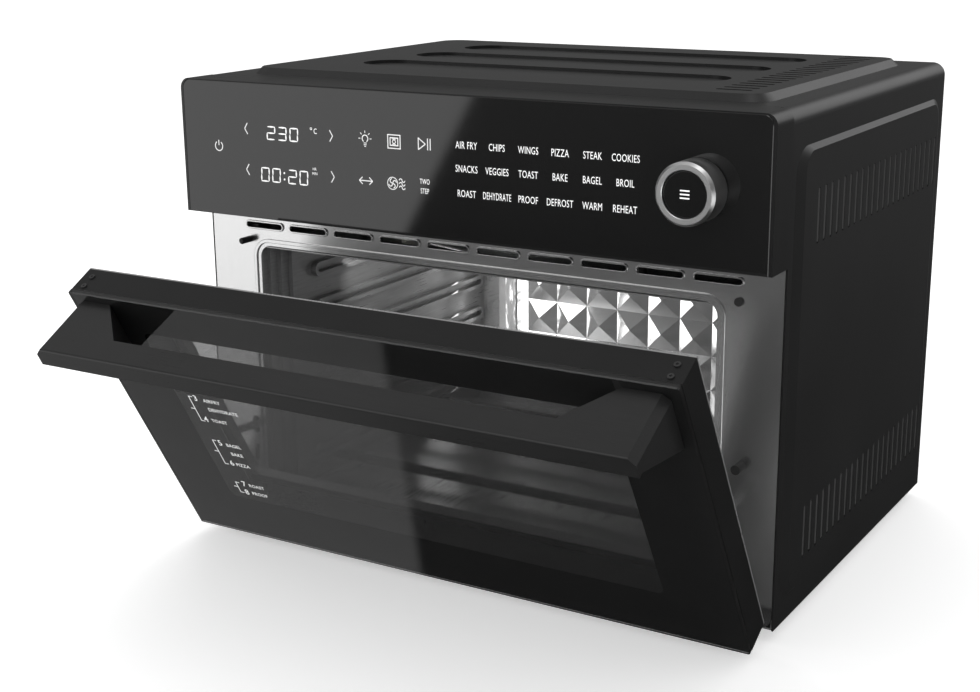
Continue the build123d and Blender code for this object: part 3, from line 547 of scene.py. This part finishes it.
def arc(mesh, centre, radius, width, start, sweep, steps=20):
    """A curved stroke, from start degrees and sweep degrees on."""
    turn = math.radians(start)
    along = Vector((math.cos(turn), math.sin(turn), 0))
    middle = Vector((centre[0], centre[1], 0))
    ends = [mesh.verts.new(middle + along * (radius + side * width / 2)) for side in (-1, 1)]
    edge = mesh.edges.new(ends)
    bmesh.ops.spin(mesh, geom=[*ends, edge], cent=middle, axis=(0, 0, 1),
                   angle=math.radians(sweep), steps=steps, use_merge=sweep == 360)


def disc(mesh, centre, radius, segments=20):
    """A filled dot."""
    made = bmesh.ops.create_circle(mesh, cap_ends=True, segments=segments, radius=radius)["verts"]
    bmesh.ops.translate(mesh, verts=made, vec=(centre[0], centre[1], 0))


def lettering(mesh, words, centre, cap_height, squeeze, widest=1000.0, weight=0.0):
    """Plain sans lettering, fitted to a cap height and a greatest width."""
    curve = bpy.data.curves.new("lettering", "FONT")
    curve.body = words
    curve.resolution_u = 3
    curve.offset = weight
    curve.space_character = 1.06
    holder = bpy.data.objects.new("lettering", curve)
    flat = bpy.data.meshes.new_from_object(holder)
    part = bmesh.new()
    part.from_mesh(flat)
    low = Vector(map(min, *(v.co for v in part.verts)))
    high = Vector(map(max, *(v.co for v in part.verts)))
    size = cap_height / (high.y - low.y)
    across = min(size * squeeze, widest / (high.x - low.x))
    bmesh.ops.translate(part, verts=part.verts, vec=-(low + high) / 2)
    bmesh.ops.scale(part, verts=part.verts, vec=(across, size, 1))
    bmesh.ops.translate(part, verts=part.verts, vec=(centre[0], centre[1], 0))
    bmesh.ops.remove_doubles(part, verts=part.verts, dist=1e-4)
    part.to_mesh(flat)
    part.free()
    mesh.from_mesh(flat)
    bpy.data.objects.remove(holder)
    bpy.data.curves.remove(curve)
    bpy.data.meshes.remove(flat)


# ---------------------------------------------------------------- control panel artwork

ARTWORK_THICKNESS = 0.06
FIGURE_SEGMENTS = {
    "0": "abcdef", "1": "bc", "2": "abdeg", "3": "abcdg", "4": "bcfg",
    "5": "acdfg", "6": "acdefg", "7": "abc", "8": "abcdefg", "9": "abcdfg",
}
FIGURE_WIDTH = 7.0
FIGURE_STROKE = 1.05
FIGURE_LEAN = 0.07
PROGRAM_COLUMNS = (16.0, 40.6, 65.3, 90.0, 114.4, 138.8)
PROGRAM_ROWS = (
    (324.5, ("AIR FRY", "CHIPS", "WINGS", "PIZZA", "STEAK", "COOKIES")),
    (308.0, ("SNACKS", "VEGGIES", "TOAST", "BAKE", "BAGEL", "BROIL")),
    (290.6, ("ROAST", "DEHYDRATE", "PROOF", "DEFROST", "WARM", "REHEAT")),
)
PROGRAM_CAP, PROGRAM_WIDEST = 5.0, 22.5
TWO_STEP_CAP, TWO_STEP_WIDEST = 3.8, 11.0
ICON_STROKE = 0.75
POWER_AT = (-207.0, 309.0)
CHEVRONS = ((-179.6, 324.0, -1), (-179.7, 293.0, -1), (-100.0, 323.5, 1), (-99.7, 293.4, 1))
LAMP_AT = (-69.8, 323.0)
TRAY_AT = (-44.6, 323.0)
START_AT = (-19.0, 323.0)
SPAN_AT = (-70.0, 293.0)
FAN_AT = (-46.6, 293.0)


def seven_segment(mesh, figure, centre, height):
    """One display figure, leaning slightly."""
    half, wide = height / 2, FIGURE_WIDTH / 2
    places = {
        "a": (0, half, False), "g": (0, 0, False), "d": (0, -half, False),
        "f": (-wide, half / 2, True), "b": (wide, half / 2, True),
        "e": (-wide, -half / 2, True), "c": (wide, -half / 2, True),
    }
    for key in FIGURE_SEGMENTS[figure]:
        x, y, upright = places[key]
        length = (half if upright else FIGURE_WIDTH) - 0.25 * FIGURE_STROKE
        lean = FIGURE_LEAN * y
        segment(mesh, (centre[0] + x + lean, centre[1] + y), length, FIGURE_STROKE, upright)


def display_figures(settings):
    """Lit temperature and time figures with their small units."""
    mesh = bmesh.new()
    for figure, x in zip(settings.temperature, (-155.8, -145.2, -134.4)):
        seven_segment(mesh, figure, (x, 322.0), 9.4)
    minutes = settings.time.replace(":", "")
    for figure, x in zip(minutes, (-162.9, -152.3, -137.2, -126.6)):
        seven_segment(mesh, figure, (x, 290.4), 10.0)
    for rise in (-2.4, 2.4):
        disc(mesh, (-144.8, 290.4 + rise), 0.75)
    lettering(mesh, "C", (-114.4, 326.0), 4.0, 0.8)
    arc(mesh, (-118.2, 327.6), 0.75, 0.45, 0, 360, 12)
    lettering(mesh, "HR", (-116.2, 298.0), 2.0, 0.9)
    lettering(mesh, "MIN", (-116.2, 294.6), 2.0, 0.9)
    raise_artwork(mesh, ARTWORK_THICKNESS, PANEL_FACE)
    return keep_piece(mesh, "display_figures", glowing_mark("lit_figures", 0.75, settings.display_glow),
                      "case")


def touch_icons(settings):
    """Line icons of the touch keys."""
    mesh = bmesh.new()
    x, h = POWER_AT
    arc(mesh, (x, h), 3.6, ICON_STROKE, 125, 290)
    stroke(mesh, (x, h + 2.6), 4.0, ICON_STROKE, 90)
    for x, h, way in CHEVRONS:
        for side in (-1, 1):
            stroke(mesh, (x - way * 0.1, h + side * 2.1), 4.9, ICON_STROKE, -way * side * 57)
    x, h = LAMP_AT
    arc(mesh, (x, h + 0.6), 2.5, ICON_STROKE, -58, 296)
    for drop, wide in ((-2.6, 2.5), (-3.9, 2.5), (-5.0, 1.4)):
        stroke(mesh, (x, h + drop), wide, 0.6)
    for ray in (0, 45, 90, 135, 180):
        away = math.radians(ray)
        stroke(mesh, (x + 4.9 * math.cos(away), h + 0.6 + 4.9 * math.sin(away)), 1.7, 0.55, ray)
    x, h = TRAY_AT
    for wide, tall in ((10.6, 9.6), (6.6, 5.4)):
        for side in (-1, 1):
            stroke(mesh, (x, h + side * tall / 2), wide + ICON_STROKE, ICON_STROKE)
            stroke(mesh, (x + side * wide / 2, h), tall, ICON_STROKE, 90)
    arc(mesh, (x, h), 1.3, 0.6, 0, 360, 16)
    for side in (-1, 1):
        stroke(mesh, (x, h + side * 1.9), 3.2, 0.5)
    x, h = START_AT
    for side in (-1, 1):
        stroke(mesh, (x - 1.9, h + side * 2.1), 7.2, ICON_STROKE, -side * 35)
    stroke(mesh, (x - 4.8, h), 8.6, ICON_STROKE, 90)
    for step in (3.0, 5.2):
        stroke(mesh, (x + step, h), 8.2, ICON_STROKE, 90)
    x, h = SPAN_AT
    stroke(mesh, (x, h), 11.4, ICON_STROKE)
    for way in (-1, 1):
        for side in (-1, 1):
            stroke(mesh, (x + way * 4.4, h + side * 1.3), 3.9, ICON_STROKE, -way * side * 42)
    x, h = FAN_AT
    arc(mesh, (x, h), 4.4, 0.6, 0, 360, 24)
    for quarter in range(4):
        away = math.radians(90 * quarter + 20)
        arc(mesh, (x + 1.9 * math.cos(away), h + 1.9 * math.sin(away)), 1.5, 0.7, 90 * quarter, 200, 8)
    for rise in (-2.6, 0.0, 2.6):
        arc(mesh, (x + 7.0, h + rise), 1.2, 0.7, 0, 180, 8)
        arc(mesh, (x + 9.4, h + rise), 1.2, 0.7, 180, 180, 8)
    raise_artwork(mesh, ARTWORK_THICKNESS, PANEL_FACE)
    return keep_piece(mesh, "touch_icons", glowing_mark("lit_icons", 0.70, settings.display_glow * 0.8),
                      "case")


def program_words(settings):
    """The names of the cooking programs, in six columns."""
    mesh = bmesh.new()
    for h, words in PROGRAM_ROWS:
        for x, word in zip(PROGRAM_COLUMNS, words):
            lettering(mesh, word, (x, h), PROGRAM_CAP, settings.letter_squeeze, PROGRAM_WIDEST)
    for word, h in (("TWO", 296.4), ("STEP", 289.6)):
        lettering(mesh, word, (START_AT[0], h), TWO_STEP_CAP, 0.62, TWO_STEP_WIDEST)
    raise_artwork(mesh, ARTWORK_THICKNESS, PANEL_FACE)
    return keep_piece(mesh, "program_words", glowing_mark("lit_words", 0.78, settings.display_glow),
                      "case")


def button_mark(settings):
    """Three menu bars on the dial's black face."""
    mesh = bmesh.new()
    for rise in (-2.4, 0.0, 2.4):
        stroke(mesh, (0, rise), 6.6, 0.9)
    raise_artwork(mesh, ARTWORK_THICKNESS, BUTTON_FACE)
    return keep_piece(mesh, "menu_bars", glowing_mark("lit_bars", 0.80, settings.display_glow),
                      "menu_button")


# ---------------------------------------------------------------- door artwork

WINDOW_HALF = 187.0
WINDOW_LOW, WINDOW_HIGH = 46.0, 222.0
WINDOW_CORNER = 6.0
PRINT_DEPTH = 3.85
PRINT_THICKNESS = 0.08
PRINT_HALF = 239.0
PRINT_LOW, PRINT_HIGH = 1.5, 252.5
DOOR_FIGURES = (("3", -167.0, 161.0), ("4", -167.6, 138.7), ("5", -166.6, 112.8),
                ("6", -165.4, 90.7), ("7", -164.8, 66.8), ("8", -166.3, 57.0))
DOOR_WORDS = (("AIRFRY", -152.0, 160.0), ("DEHYDRATE", -145.5, 150.6), ("TOAST", -154.8, 138.4),
              ("BAGEL", -153.8, 111.9), ("BAKE", -155.0, 102.0), ("PIZZA", -154.8, 90.0),
              ("ROAST", -152.6, 66.2), ("PROOF", -153.4, 57.0))
DOOR_FIGURE_CAP, DOOR_WORD_CAP = 6.0, 3.5
DOOR_BRACKETS = ((162.0, 136.0, 148.6), (114.7, 88.4, 102.0), (67.0, 55.5, 61.5))


def door_print(settings):
    """Opaque black border round the door's window, inside the back of the outer glass."""
    mesh = bmesh.new()
    made = bmesh.ops.create_grid(mesh, x_segments=1, y_segments=1, size=0.5)["verts"]
    bmesh.ops.scale(mesh, verts=made, vec=(2 * WINDOW_HALF, WINDOW_HIGH - WINDOW_LOW, 1))
    middle = (WINDOW_HIGH + WINDOW_LOW) / 2
    bmesh.ops.translate(mesh, verts=made, vec=(0, middle, 0))
    bmesh.ops.bevel(mesh, geom=mesh.verts[:], offset=WINDOW_CORNER, offset_type="OFFSET", segments=6,
                    profile=0.5, affect="VERTICES", material=-1)
    window_edge = mesh.edges[:]
    bmesh.ops.delete(mesh, geom=mesh.faces[:], context="FACES_ONLY")
    grown = bmesh.ops.extrude_edge_only(mesh, edges=window_edge)["geom"]
    for vert in (item for item in grown if isinstance(item, bmesh.types.BMVert)):
        vert.co.x = math.copysign(PRINT_HALF, vert.co.x)
        vert.co.y = PRINT_HIGH if vert.co.y > middle else PRINT_LOW
    bmesh.ops.remove_doubles(mesh, verts=mesh.verts, dist=1e-4)
    bmesh.ops.translate(mesh, verts=mesh.verts, vec=(0, 0, -PRINT_DEPTH))
    raise_artwork(mesh, PRINT_THICKNESS, DOOR_FACE)
    return keep_piece(mesh, "door_glass_border", opaque_print(settings), "door")


def door_legend(settings):
    """Rail figures, program names and brackets printed on the door glass, made to glow: the print's glow is
    painted light, brighter than ink lit by the studio.
    """
    mesh = bmesh.new()
    for figure, x, rise in DOOR_FIGURES:
        lettering(mesh, figure, (x, rise), DOOR_FIGURE_CAP, 0.95, weight=0.01)
    for word, x, rise in DOOR_WORDS:
        lettering(mesh, word, (x, rise), DOOR_WORD_CAP, 0.95, weight=0.012)
    for high, low, tick in DOOR_BRACKETS:
        stroke(mesh, (-173.0, (high + low) / 2), high - low, 0.7, 90)
        for end in (high, low):
            stroke(mesh, (-171.4, end), 3.9, 0.7)
        stroke(mesh, (-175.0, tick), 4.0, 0.7)
    raise_artwork(mesh, ARTWORK_THICKNESS, DOOR_FACE)
    # Printed ink given a glow of 0.5: painted light on the door's marks.
    return keep_piece(mesh, "door_legend", glowing_mark("door_ink", settings.door_ink, 0.5),
                      "door")


# ---------------------------------------------------------------- louvres

LOUVRE_COUNT = 22
LOUVRE_PITCH = 12.65
LOUVRE_MIDDLE = 206.0
LOUVRE_BANDS = ((284.2, 38.5), (58.9, 39.1))
LOUVRE_SLOT = 4.0


def louvre_blades(settings):
    """Slanting blades behind the slots of both side walls, one piece to a side."""
    side_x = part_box("outer_cover")[1].x
    # The blades get the lighter copy of the case paint, a painted highlight.
    paint = louvre_paint(settings)
    for side, name in ((-1, "left_louvre_blades"), (1, "right_louvre_blades")):
        mesh = bmesh.new()
        for middle, tall in LOUVRE_BANDS:
            for index in range(LOUVRE_COUNT):
                depth = LOUVRE_MIDDLE + (index - (LOUVRE_COUNT - 1) / 2) * LOUVRE_PITCH
                made = bmesh.ops.create_cube(mesh, size=1.0)["verts"]
                bmesh.ops.scale(mesh, verts=made, vec=(0.7, LOUVRE_SLOT + 1.2, tall - 1.6))
                turn = Matrix.Rotation(settings.louvre_angle * -side, 3, "Z")
                bmesh.ops.rotate(mesh, verts=made, cent=(0, 0, 0), matrix=turn)
                bmesh.ops.translate(mesh, verts=made, vec=(0, depth, middle))
                edges = {edge for vert in made for edge in vert.link_edges}
                bmesh.ops.bevel(mesh, geom=list(edges), offset=0.18, offset_type="OFFSET",
                                segments=1, profile=0.5, affect="EDGES", material=-1)
        bmesh.ops.scale(mesh, verts=mesh.verts, vec=(MM, MM, MM))
        inset = side_x - settings.louvre_inset * MM
        bmesh.ops.translate(mesh, verts=mesh.verts, vec=(side * inset, GLASS_FACE_Y, CASE_FOOT_Z))
        keep_piece(mesh, name, paint, "case")


# ---------------------------------------------------------------- studio

TENT_EDGE = Vector((0.785, -0.427, -0.449))
STRIP_WAY = Vector((0.337, 0.817, 0.469))
SIDE_STRIP_WAY = Vector((0.831, -0.461, -0.311))
KEY_SPOT = Vector((-0.9, 1.1, 2.3))
KEY_SIZE = (2.4, 2.4)
ROOF_LIGHT_SIZE = (0.30, 0.03)
WALL_LIGHT_SIZE = (0.14, 0.18)


def aimed(spot, target):
    """The turn that points a light or camera from spot to target."""
    return (target - spot).to_track_quat("-Z", "Y").to_matrix().to_4x4()


def soft_light(name, spot, target, size, power):
    """A rectangular soft light."""
    data = bpy.data.lights.new(name, "AREA")
    data.shape = "RECTANGLE"
    data.size, data.size_y = size
    data.energy = power
    light = bpy.data.objects.new(name, data)
    light.matrix_world = Matrix.Translation(spot) @ aimed(spot, target)
    bpy.context.scene.collection.objects.link(light)
    return light


def chamber_lights(settings):
    """Soft lights in the baking chamber: under the roof behind the mouth, and by the left wall."""
    roof_low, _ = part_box("cavity_roof")
    rear_low, rear_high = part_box("cavity_rear_wall")
    middle_z = (rear_low.z + rear_high.z) / 2
    roof_spot = Vector((-0.05, roof_low.y + 0.055, roof_low.z - 0.012))
    roof_light = soft_light("chamber_roof_light", roof_spot, Vector((0.03, rear_low.y, middle_z)),
                            ROOF_LIGHT_SIZE, settings.oven_light_power * 0.5)
    roof_light.visible_glossy = False
    wall_spot = Vector((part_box("left_rack_rails")[1].x + 0.004, rear_low.y - 0.075, middle_z))
    wall_light = soft_light("chamber_wall_light", wall_spot, wall_spot + Vector((1, 0.25, 0)),
                            WALL_LIGHT_SIZE, settings.oven_light_power * 0.25)
    for light in (roof_light, wall_light):
        light.visible_camera = False
        light.visible_transmission = False


def ramp(tree, value, start, end, low, high):
    """A smooth step of a value from low to high."""
    node = tree.nodes.new("ShaderNodeMapRange")
    node.interpolation_type = "SMOOTHSTEP"
    tree.links.new(value, node.inputs["Value"])
    for label, number in (("From Min", start), ("From Max", end), ("To Min", low), ("To Max", high)):
        node.inputs[label].default_value = number
    return node.outputs["Result"]


def studio_world(settings):
    """A pale room for soft light, whose reflections are those of a dark tent with one white side."""
    world = bpy.data.worlds.new("studio_tent")
    world.use_nodes = True
    tree = world.node_tree
    back = tree.nodes["Background"]
    way = tree.nodes.new("ShaderNodeTexCoord")
    parts = tree.nodes.new("ShaderNodeSeparateXYZ")
    tree.links.new(way.outputs["Generated"], parts.inputs[0])
    across = tree.nodes.new("ShaderNodeVectorMath")
    across.operation = "DOT_PRODUCT"
    across.inputs[1].default_value = TENT_EDGE
    tree.links.new(way.outputs["Generated"], across.inputs[0])
    near_edge = ramp(tree, across.outputs["Value"], -0.004, 0.004, 1.0, 0.0)
    far_edge = ramp(tree, across.outputs["Value"], -0.42, -0.30, 0.0, 1.0)
    ahead = ramp(tree, parts.outputs["Y"], 0.0, 0.15, 1.0, 0.0)
    card = math_node(tree, "MULTIPLY", math_node(tree, "MULTIPLY", near_edge, far_edge), ahead)
    dusk = ramp(tree, parts.outputs["Z"], -0.40, 0.05, settings.tent_floor, settings.tent_wall)
    card_fade = ramp(tree, parts.outputs["Z"], -0.75, -0.25, 0.26 * settings.card_glow, settings.card_glow)
    lit_card = math_node(tree, "MULTIPLY", card, card_fade)
    ceiling = ramp(tree, parts.outputs["Z"], 0.30, 0.75, 0.0, settings.ceiling_glow)
    roof = ceiling
    for strip_way, fades, glow in ((STRIP_WAY, 0.88, settings.strip_glow),
                                   (SIDE_STRIP_WAY, 0.90, settings.side_strip_glow)):
        toward_strip = tree.nodes.new("ShaderNodeVectorMath")
        toward_strip.operation = "DOT_PRODUCT"
        toward_strip.inputs[1].default_value = strip_way
        tree.links.new(way.outputs["Generated"], toward_strip.inputs[0])
        strip = ramp(tree, toward_strip.outputs["Value"], fades, fades + 0.08, 0.0, glow)
        roof = math_node(tree, "ADD", roof, strip)
    seen = math_node(tree, "ADD", math_node(tree, "ADD", dusk, lit_card), roof)
    rays = tree.nodes.new("ShaderNodeLightPath")
    mirrored = math_node(tree, "MULTIPLY", rays.outputs["Is Glossy Ray"], seen)
    direct = math_node(tree, "MULTIPLY", rays.outputs["Is Camera Ray"], settings.backdrop_glow)
    either = math_node(tree, "MAXIMUM", rays.outputs["Is Glossy Ray"], rays.outputs["Is Camera Ray"])
    plain = math_node(tree, "SUBTRACT", 1.0, either)
    room = math_node(tree, "MULTIPLY", plain, settings.room_glow)
    total = math_node(tree, "ADD", math_node(tree, "ADD", mirrored, direct), room)
    tree.links.new(total, back.inputs["Strength"])
    back.inputs["Color"].default_value = (1, 1, 1, 1)
    bpy.context.scene.world = world


def studio_floor(settings):
    """A wide pale floor."""
    mesh = bmesh.new()
    bmesh.ops.create_grid(mesh, x_segments=1, y_segments=1, size=settings.floor_size / 2)
    bmesh.ops.recalc_face_normals(mesh, faces=mesh.faces)
    data = bpy.data.meshes.new("studio_floor")
    mesh.to_mesh(data)
    mesh.free()
    tone = settings.floor_tone
    data.materials.append(finish("floor_paper", "surface_grain",
                                 grain(tone, tone * 0.995, 0.9, 0.03, 200.0, 2.0), None,
                                 Specular_IOR_Level=0.0, Emission_Color=(1, 1, 1, 1),
                                 Emission_Strength=settings.floor_glow))
    floor = bpy.data.objects.new("studio_floor", data)
    bpy.context.scene.collection.objects.link(floor)
    floor.visible_glossy = False


def studio_camera(settings):
    """The three-quarter camera, slightly above the oven and to its right."""
    data = bpy.data.cameras.new("studio_camera")
    data.lens = settings.lens
    data.sensor_width = 36.0
    data.dof.use_dof = False
    data.clip_end = 60.0
    camera = bpy.data.objects.new("studio_camera", data)
    yaw, pitch, roll = settings.camera_yaw, settings.camera_pitch, settings.camera_roll
    forward = Vector((-math.sin(yaw) * math.cos(pitch), math.cos(yaw) * math.cos(pitch), -math.sin(pitch)))
    level = Vector((math.cos(yaw), math.sin(yaw), 0))
    upward = level.cross(forward)
    right = level * math.cos(roll) + upward * math.sin(roll)
    top = upward * math.cos(roll) - level * math.sin(roll)
    turn = Matrix((right, top, -forward)).transposed().to_4x4()
    camera.matrix_world = Matrix.Translation(settings.camera_spot) @ turn
    bpy.context.scene.collection.objects.link(camera)
    bpy.context.scene.camera = camera


# ---------------------------------------------------------------- settings

class OvenFinishSettings(bpy.types.PropertyGroup):
    """Tones of the oven's paint, metal and glass."""

    paint_tone: bpy.props.FloatProperty(
        name="Paint tone", description="Linear reflectance of the black powder coat",
        default=0.010, min=0.0, max=1.0, subtype="FACTOR")
    handle_tone: bpy.props.FloatProperty(
        name="Handle tone", description="Linear reflectance of the black handle",
        default=0.012, min=0.0, max=1.0, subtype="FACTOR")
    front_steel_tone: bpy.props.FloatProperty(
        name="Front steel tone", description="Linear reflectance of the polished front plate",
        default=0.68, min=0.0, max=1.0, subtype="FACTOR")
    cavity_tone: bpy.props.FloatProperty(
        name="Cavity steel tone", description="Linear reflectance of the baking chamber's sheet",
        default=0.45, min=0.0, max=1.0, subtype="FACTOR")
    glass_tone: bpy.props.FloatProperty(
        name="Door glass tone", description="How much light the door's outer glass lets through",
        default=0.24, min=0.0, max=1.0, subtype="FACTOR")


class OvenLouvreSettings(bpy.types.PropertyGroup):
    """The blades in the side walls' slots."""

    louvre_angle: bpy.props.FloatProperty(
        name="Blade angle", description="How far each blade turns from the wall",
        default=math.radians(28.0), subtype="ANGLE")
    louvre_inset: bpy.props.FloatProperty(
        name="Blade inset", description="Depth of the blade's middle behind the wall's face, in millimetres",
        default=1.75, min=0.0)
    # Painted highlight: the blades' paler tone stands in for the light they catch; the real blades carry the
    # case's own powder coat.
    louvre_tone: bpy.props.FloatProperty(
        name="Blade tone", description="Linear reflectance of the blades",
        default=0.040, min=0.0, max=1.0, subtype="FACTOR")


class OvenArtworkSettings(bpy.types.PropertyGroup):
    """The lit and printed marks."""

    temperature: bpy.props.StringProperty(
        name="Temperature", description="Three figures of the upper display", default="230")
    time: bpy.props.StringProperty(
        name="Time", description="Hours and minutes of the lower display", default="00:20")
    display_glow: bpy.props.FloatProperty(
        name="Display glow", description="Strength of the lit marks", default=0.75, min=0.0)
    letter_squeeze: bpy.props.FloatProperty(
        name="Letter width", description="Width of the program lettering against its height",
        default=0.66, min=0.1, max=2.0, subtype="FACTOR")
    # This tone sets both the door ink's colour and the colour of its painted glow.
    door_ink: bpy.props.FloatProperty(
        name="Door ink tone", description="Linear reflectance of the marks on the door glass",
        default=0.62, min=0.0, max=1.0, subtype="FACTOR")


class OvenStudioSettings(bpy.types.PropertyGroup):
    """Floor, lights and camera."""

    floor_size: bpy.props.FloatProperty(
        name="Floor size", description="Width of the square floor", default=30.0,
        subtype="DISTANCE", unit="LENGTH")
    floor_tone: bpy.props.FloatProperty(
        name="Floor tone", description="Linear reflectance of the floor", default=0.90,
        min=0.0, max=1.0, subtype="FACTOR")
    room_glow: bpy.props.FloatProperty(
        name="Room glow", description="Strength of the soft light from all round", default=0.80)
    backdrop_glow: bpy.props.FloatProperty(
        name="Backdrop glow", description="Brightness of the background", default=1.0)
    card_glow: bpy.props.FloatProperty(
        name="Card glow", description="Brightness of the white tent side in reflections", default=1.35)
    tent_floor: bpy.props.FloatProperty(
        name="Tent floor", description="Brightness of the tent's foot in reflections", default=0.03)
    tent_wall: bpy.props.FloatProperty(
        name="Tent wall", description="Brightness of the tent's wall in reflections", default=0.13)
    ceiling_glow: bpy.props.FloatProperty(
        name="Ceiling glow", description="Brightness of the tent's roof in reflections", default=0.34)
    strip_glow: bpy.props.FloatProperty(
        name="Strip glow", description="Brightness of the strip behind the oven in reflections", default=0.9)
    side_strip_glow: bpy.props.FloatProperty(
        name="Side strip glow", description="Brightness of the strip to the oven's right in reflections",
        default=1.8)
    floor_glow: bpy.props.FloatProperty(
        name="Floor glow", description="Light of the backlit floor", default=0.45)
    oven_light_power: bpy.props.FloatProperty(
        name="Chamber light power", description="Power of the small soft light in the baking chamber",
        default=0.8, subtype="POWER", unit="POWER")
    key_power: bpy.props.FloatProperty(
        name="Key power", description="Power of the soft light above", default=18.0,
        subtype="POWER", unit="POWER")
    lens: bpy.props.FloatProperty(
        name="Lens", description="Focal length", default=58.25, subtype="DISTANCE_CAMERA", unit="CAMERA")
    camera_spot: bpy.props.FloatVectorProperty(
        name="Camera position", description="Where the camera stands, in the oven's frame",
        default=(0.59714, -1.02832, 0.49391), subtype="TRANSLATION", unit="LENGTH")
    camera_yaw: bpy.props.FloatProperty(
        name="Camera yaw", description="Turn to the left of straight ahead",
        default=math.radians(31.290), subtype="ANGLE")
    camera_pitch: bpy.props.FloatProperty(
        name="Camera pitch", description="Angle below the horizon",
        default=math.radians(15.508), subtype="ANGLE")
    camera_roll: bpy.props.FloatProperty(
        name="Camera roll", description="Tilt about the line of sight",
        default=math.radians(-0.513), subtype="ANGLE")


# ---------------------------------------------------------------- operators

class OVEN_OT_finishes(bpy.types.Operator):
    """Give every part of the oven its finish"""

    bl_idname = "oven.finishes"
    bl_label = "Finishes"

    def execute(self, context):
        settings = context.scene.oven_finish
        materials = {make.__name__: make(settings) for make in FINISHES}
        for node_name, node in frame["nodes"].items():
            slot_name = SLOT_OF[node_name]
            if slot_name not in materials:
                raise RuntimeError(f"no finish is made for the slot {slot_name}")
            node.data.materials.clear()
            node.data.materials.append(materials[slot_name])
        strip = frame["nodes"]["corner_reflector"]
        strip.data.materials[0] = corner_foil(settings)
        return {"FINISHED"}


class OVEN_OT_louvres(bpy.types.Operator):
    """Add the slanting blades in the side walls' slots"""

    bl_idname = "oven.louvres"
    bl_label = "Side louvres"

    def execute(self, context):
        louvre_blades(context.scene.oven_louvre)
        return {"FINISHED"}


class OVEN_OT_panel_artwork(bpy.types.Operator):
    """Add the control panel's lit figures, icons and words"""

    bl_idname = "oven.panel_artwork"
    bl_label = "Panel artwork"

    def execute(self, context):
        settings = context.scene.oven_artwork
        display_figures(settings)
        touch_icons(settings)
        program_words(settings)
        return {"FINISHED"}


class OVEN_OT_button_mark(bpy.types.Operator):
    """Add the menu mark on the dial's button"""

    bl_idname = "oven.button_mark"
    bl_label = "Dial mark"

    def execute(self, context):
        button_mark(context.scene.oven_artwork)
        return {"FINISHED"}


class OVEN_OT_door_artwork(bpy.types.Operator):
    """Add the door glass's black border and printed legend"""

    bl_idname = "oven.door_artwork"
    bl_label = "Door artwork"

    def execute(self, context):
        settings = context.scene.oven_artwork
        door_print(settings)
        door_legend(settings)
        return {"FINISHED"}


class OVEN_OT_studio(bpy.types.Operator):
    """Add the floor, lights and camera"""

    bl_idname = "oven.studio"
    bl_label = "Studio"

    def execute(self, context):
        settings = context.scene.oven_studio
        studio_floor(settings)
        studio_world(settings)
        middle = (cad_low + cad_high) / 2
        key = soft_light("key_light", KEY_SPOT, middle, KEY_SIZE, settings.key_power)
        key.visible_glossy = False
        chamber_lights(settings)
        studio_camera(settings)
        return {"FINISHED"}


class OVEN_PT_panel(bpy.types.Panel):
    """The oven's operators and settings"""

    bl_label = "Countertop oven"
    bl_idname = "OVEN_PT_panel"
    bl_space_type = "VIEW_3D"
    bl_region_type = "UI"
    bl_category = "Oven"

    def draw(self, context):
        for group, operators in (
            ("oven_finish", ("oven.finishes",)),
            ("oven_louvre", ("oven.louvres",)),
            ("oven_artwork", ("oven.panel_artwork", "oven.button_mark", "oven.door_artwork")),
            ("oven_studio", ("oven.studio",)),
        ):
            box = self.layout.box()
            settings = getattr(context.scene, group)
            for key in settings.__annotations__:
                box.prop(settings, key)
            for name in operators:
                box.operator(name)


SETTINGS = {
    "oven_finish": OvenFinishSettings,
    "oven_louvre": OvenLouvreSettings,
    "oven_artwork": OvenArtworkSettings,
    "oven_studio": OvenStudioSettings,
}
CLASSES = (*SETTINGS.values(), OVEN_OT_finishes, OVEN_OT_louvres, OVEN_OT_panel_artwork,
           OVEN_OT_button_mark, OVEN_OT_door_artwork, OVEN_OT_studio, OVEN_PT_panel)


def register():
    for cls in CLASSES:
        bpy.utils.register_class(cls)
    for name, cls in SETTINGS.items():
        setattr(bpy.types.Scene, name, bpy.props.PointerProperty(type=cls))


def unregister():
    for name in SETTINGS:
        delattr(bpy.types.Scene, name)
    for cls in reversed(CLASSES):
        bpy.utils.unregister_class(cls)


def main():
    """Builds the whole picture."""
    register()
    bpy.context.scene.view_settings.view_transform = "Standard"
    bpy.ops.oven.studio()
    bpy.ops.oven.finishes()
    bpy.ops.oven.louvres()
    bpy.ops.oven.panel_artwork()
    bpy.ops.oven.button_mark()
    bpy.ops.oven.door_artwork()


if __name__ == "__main__":
    main()
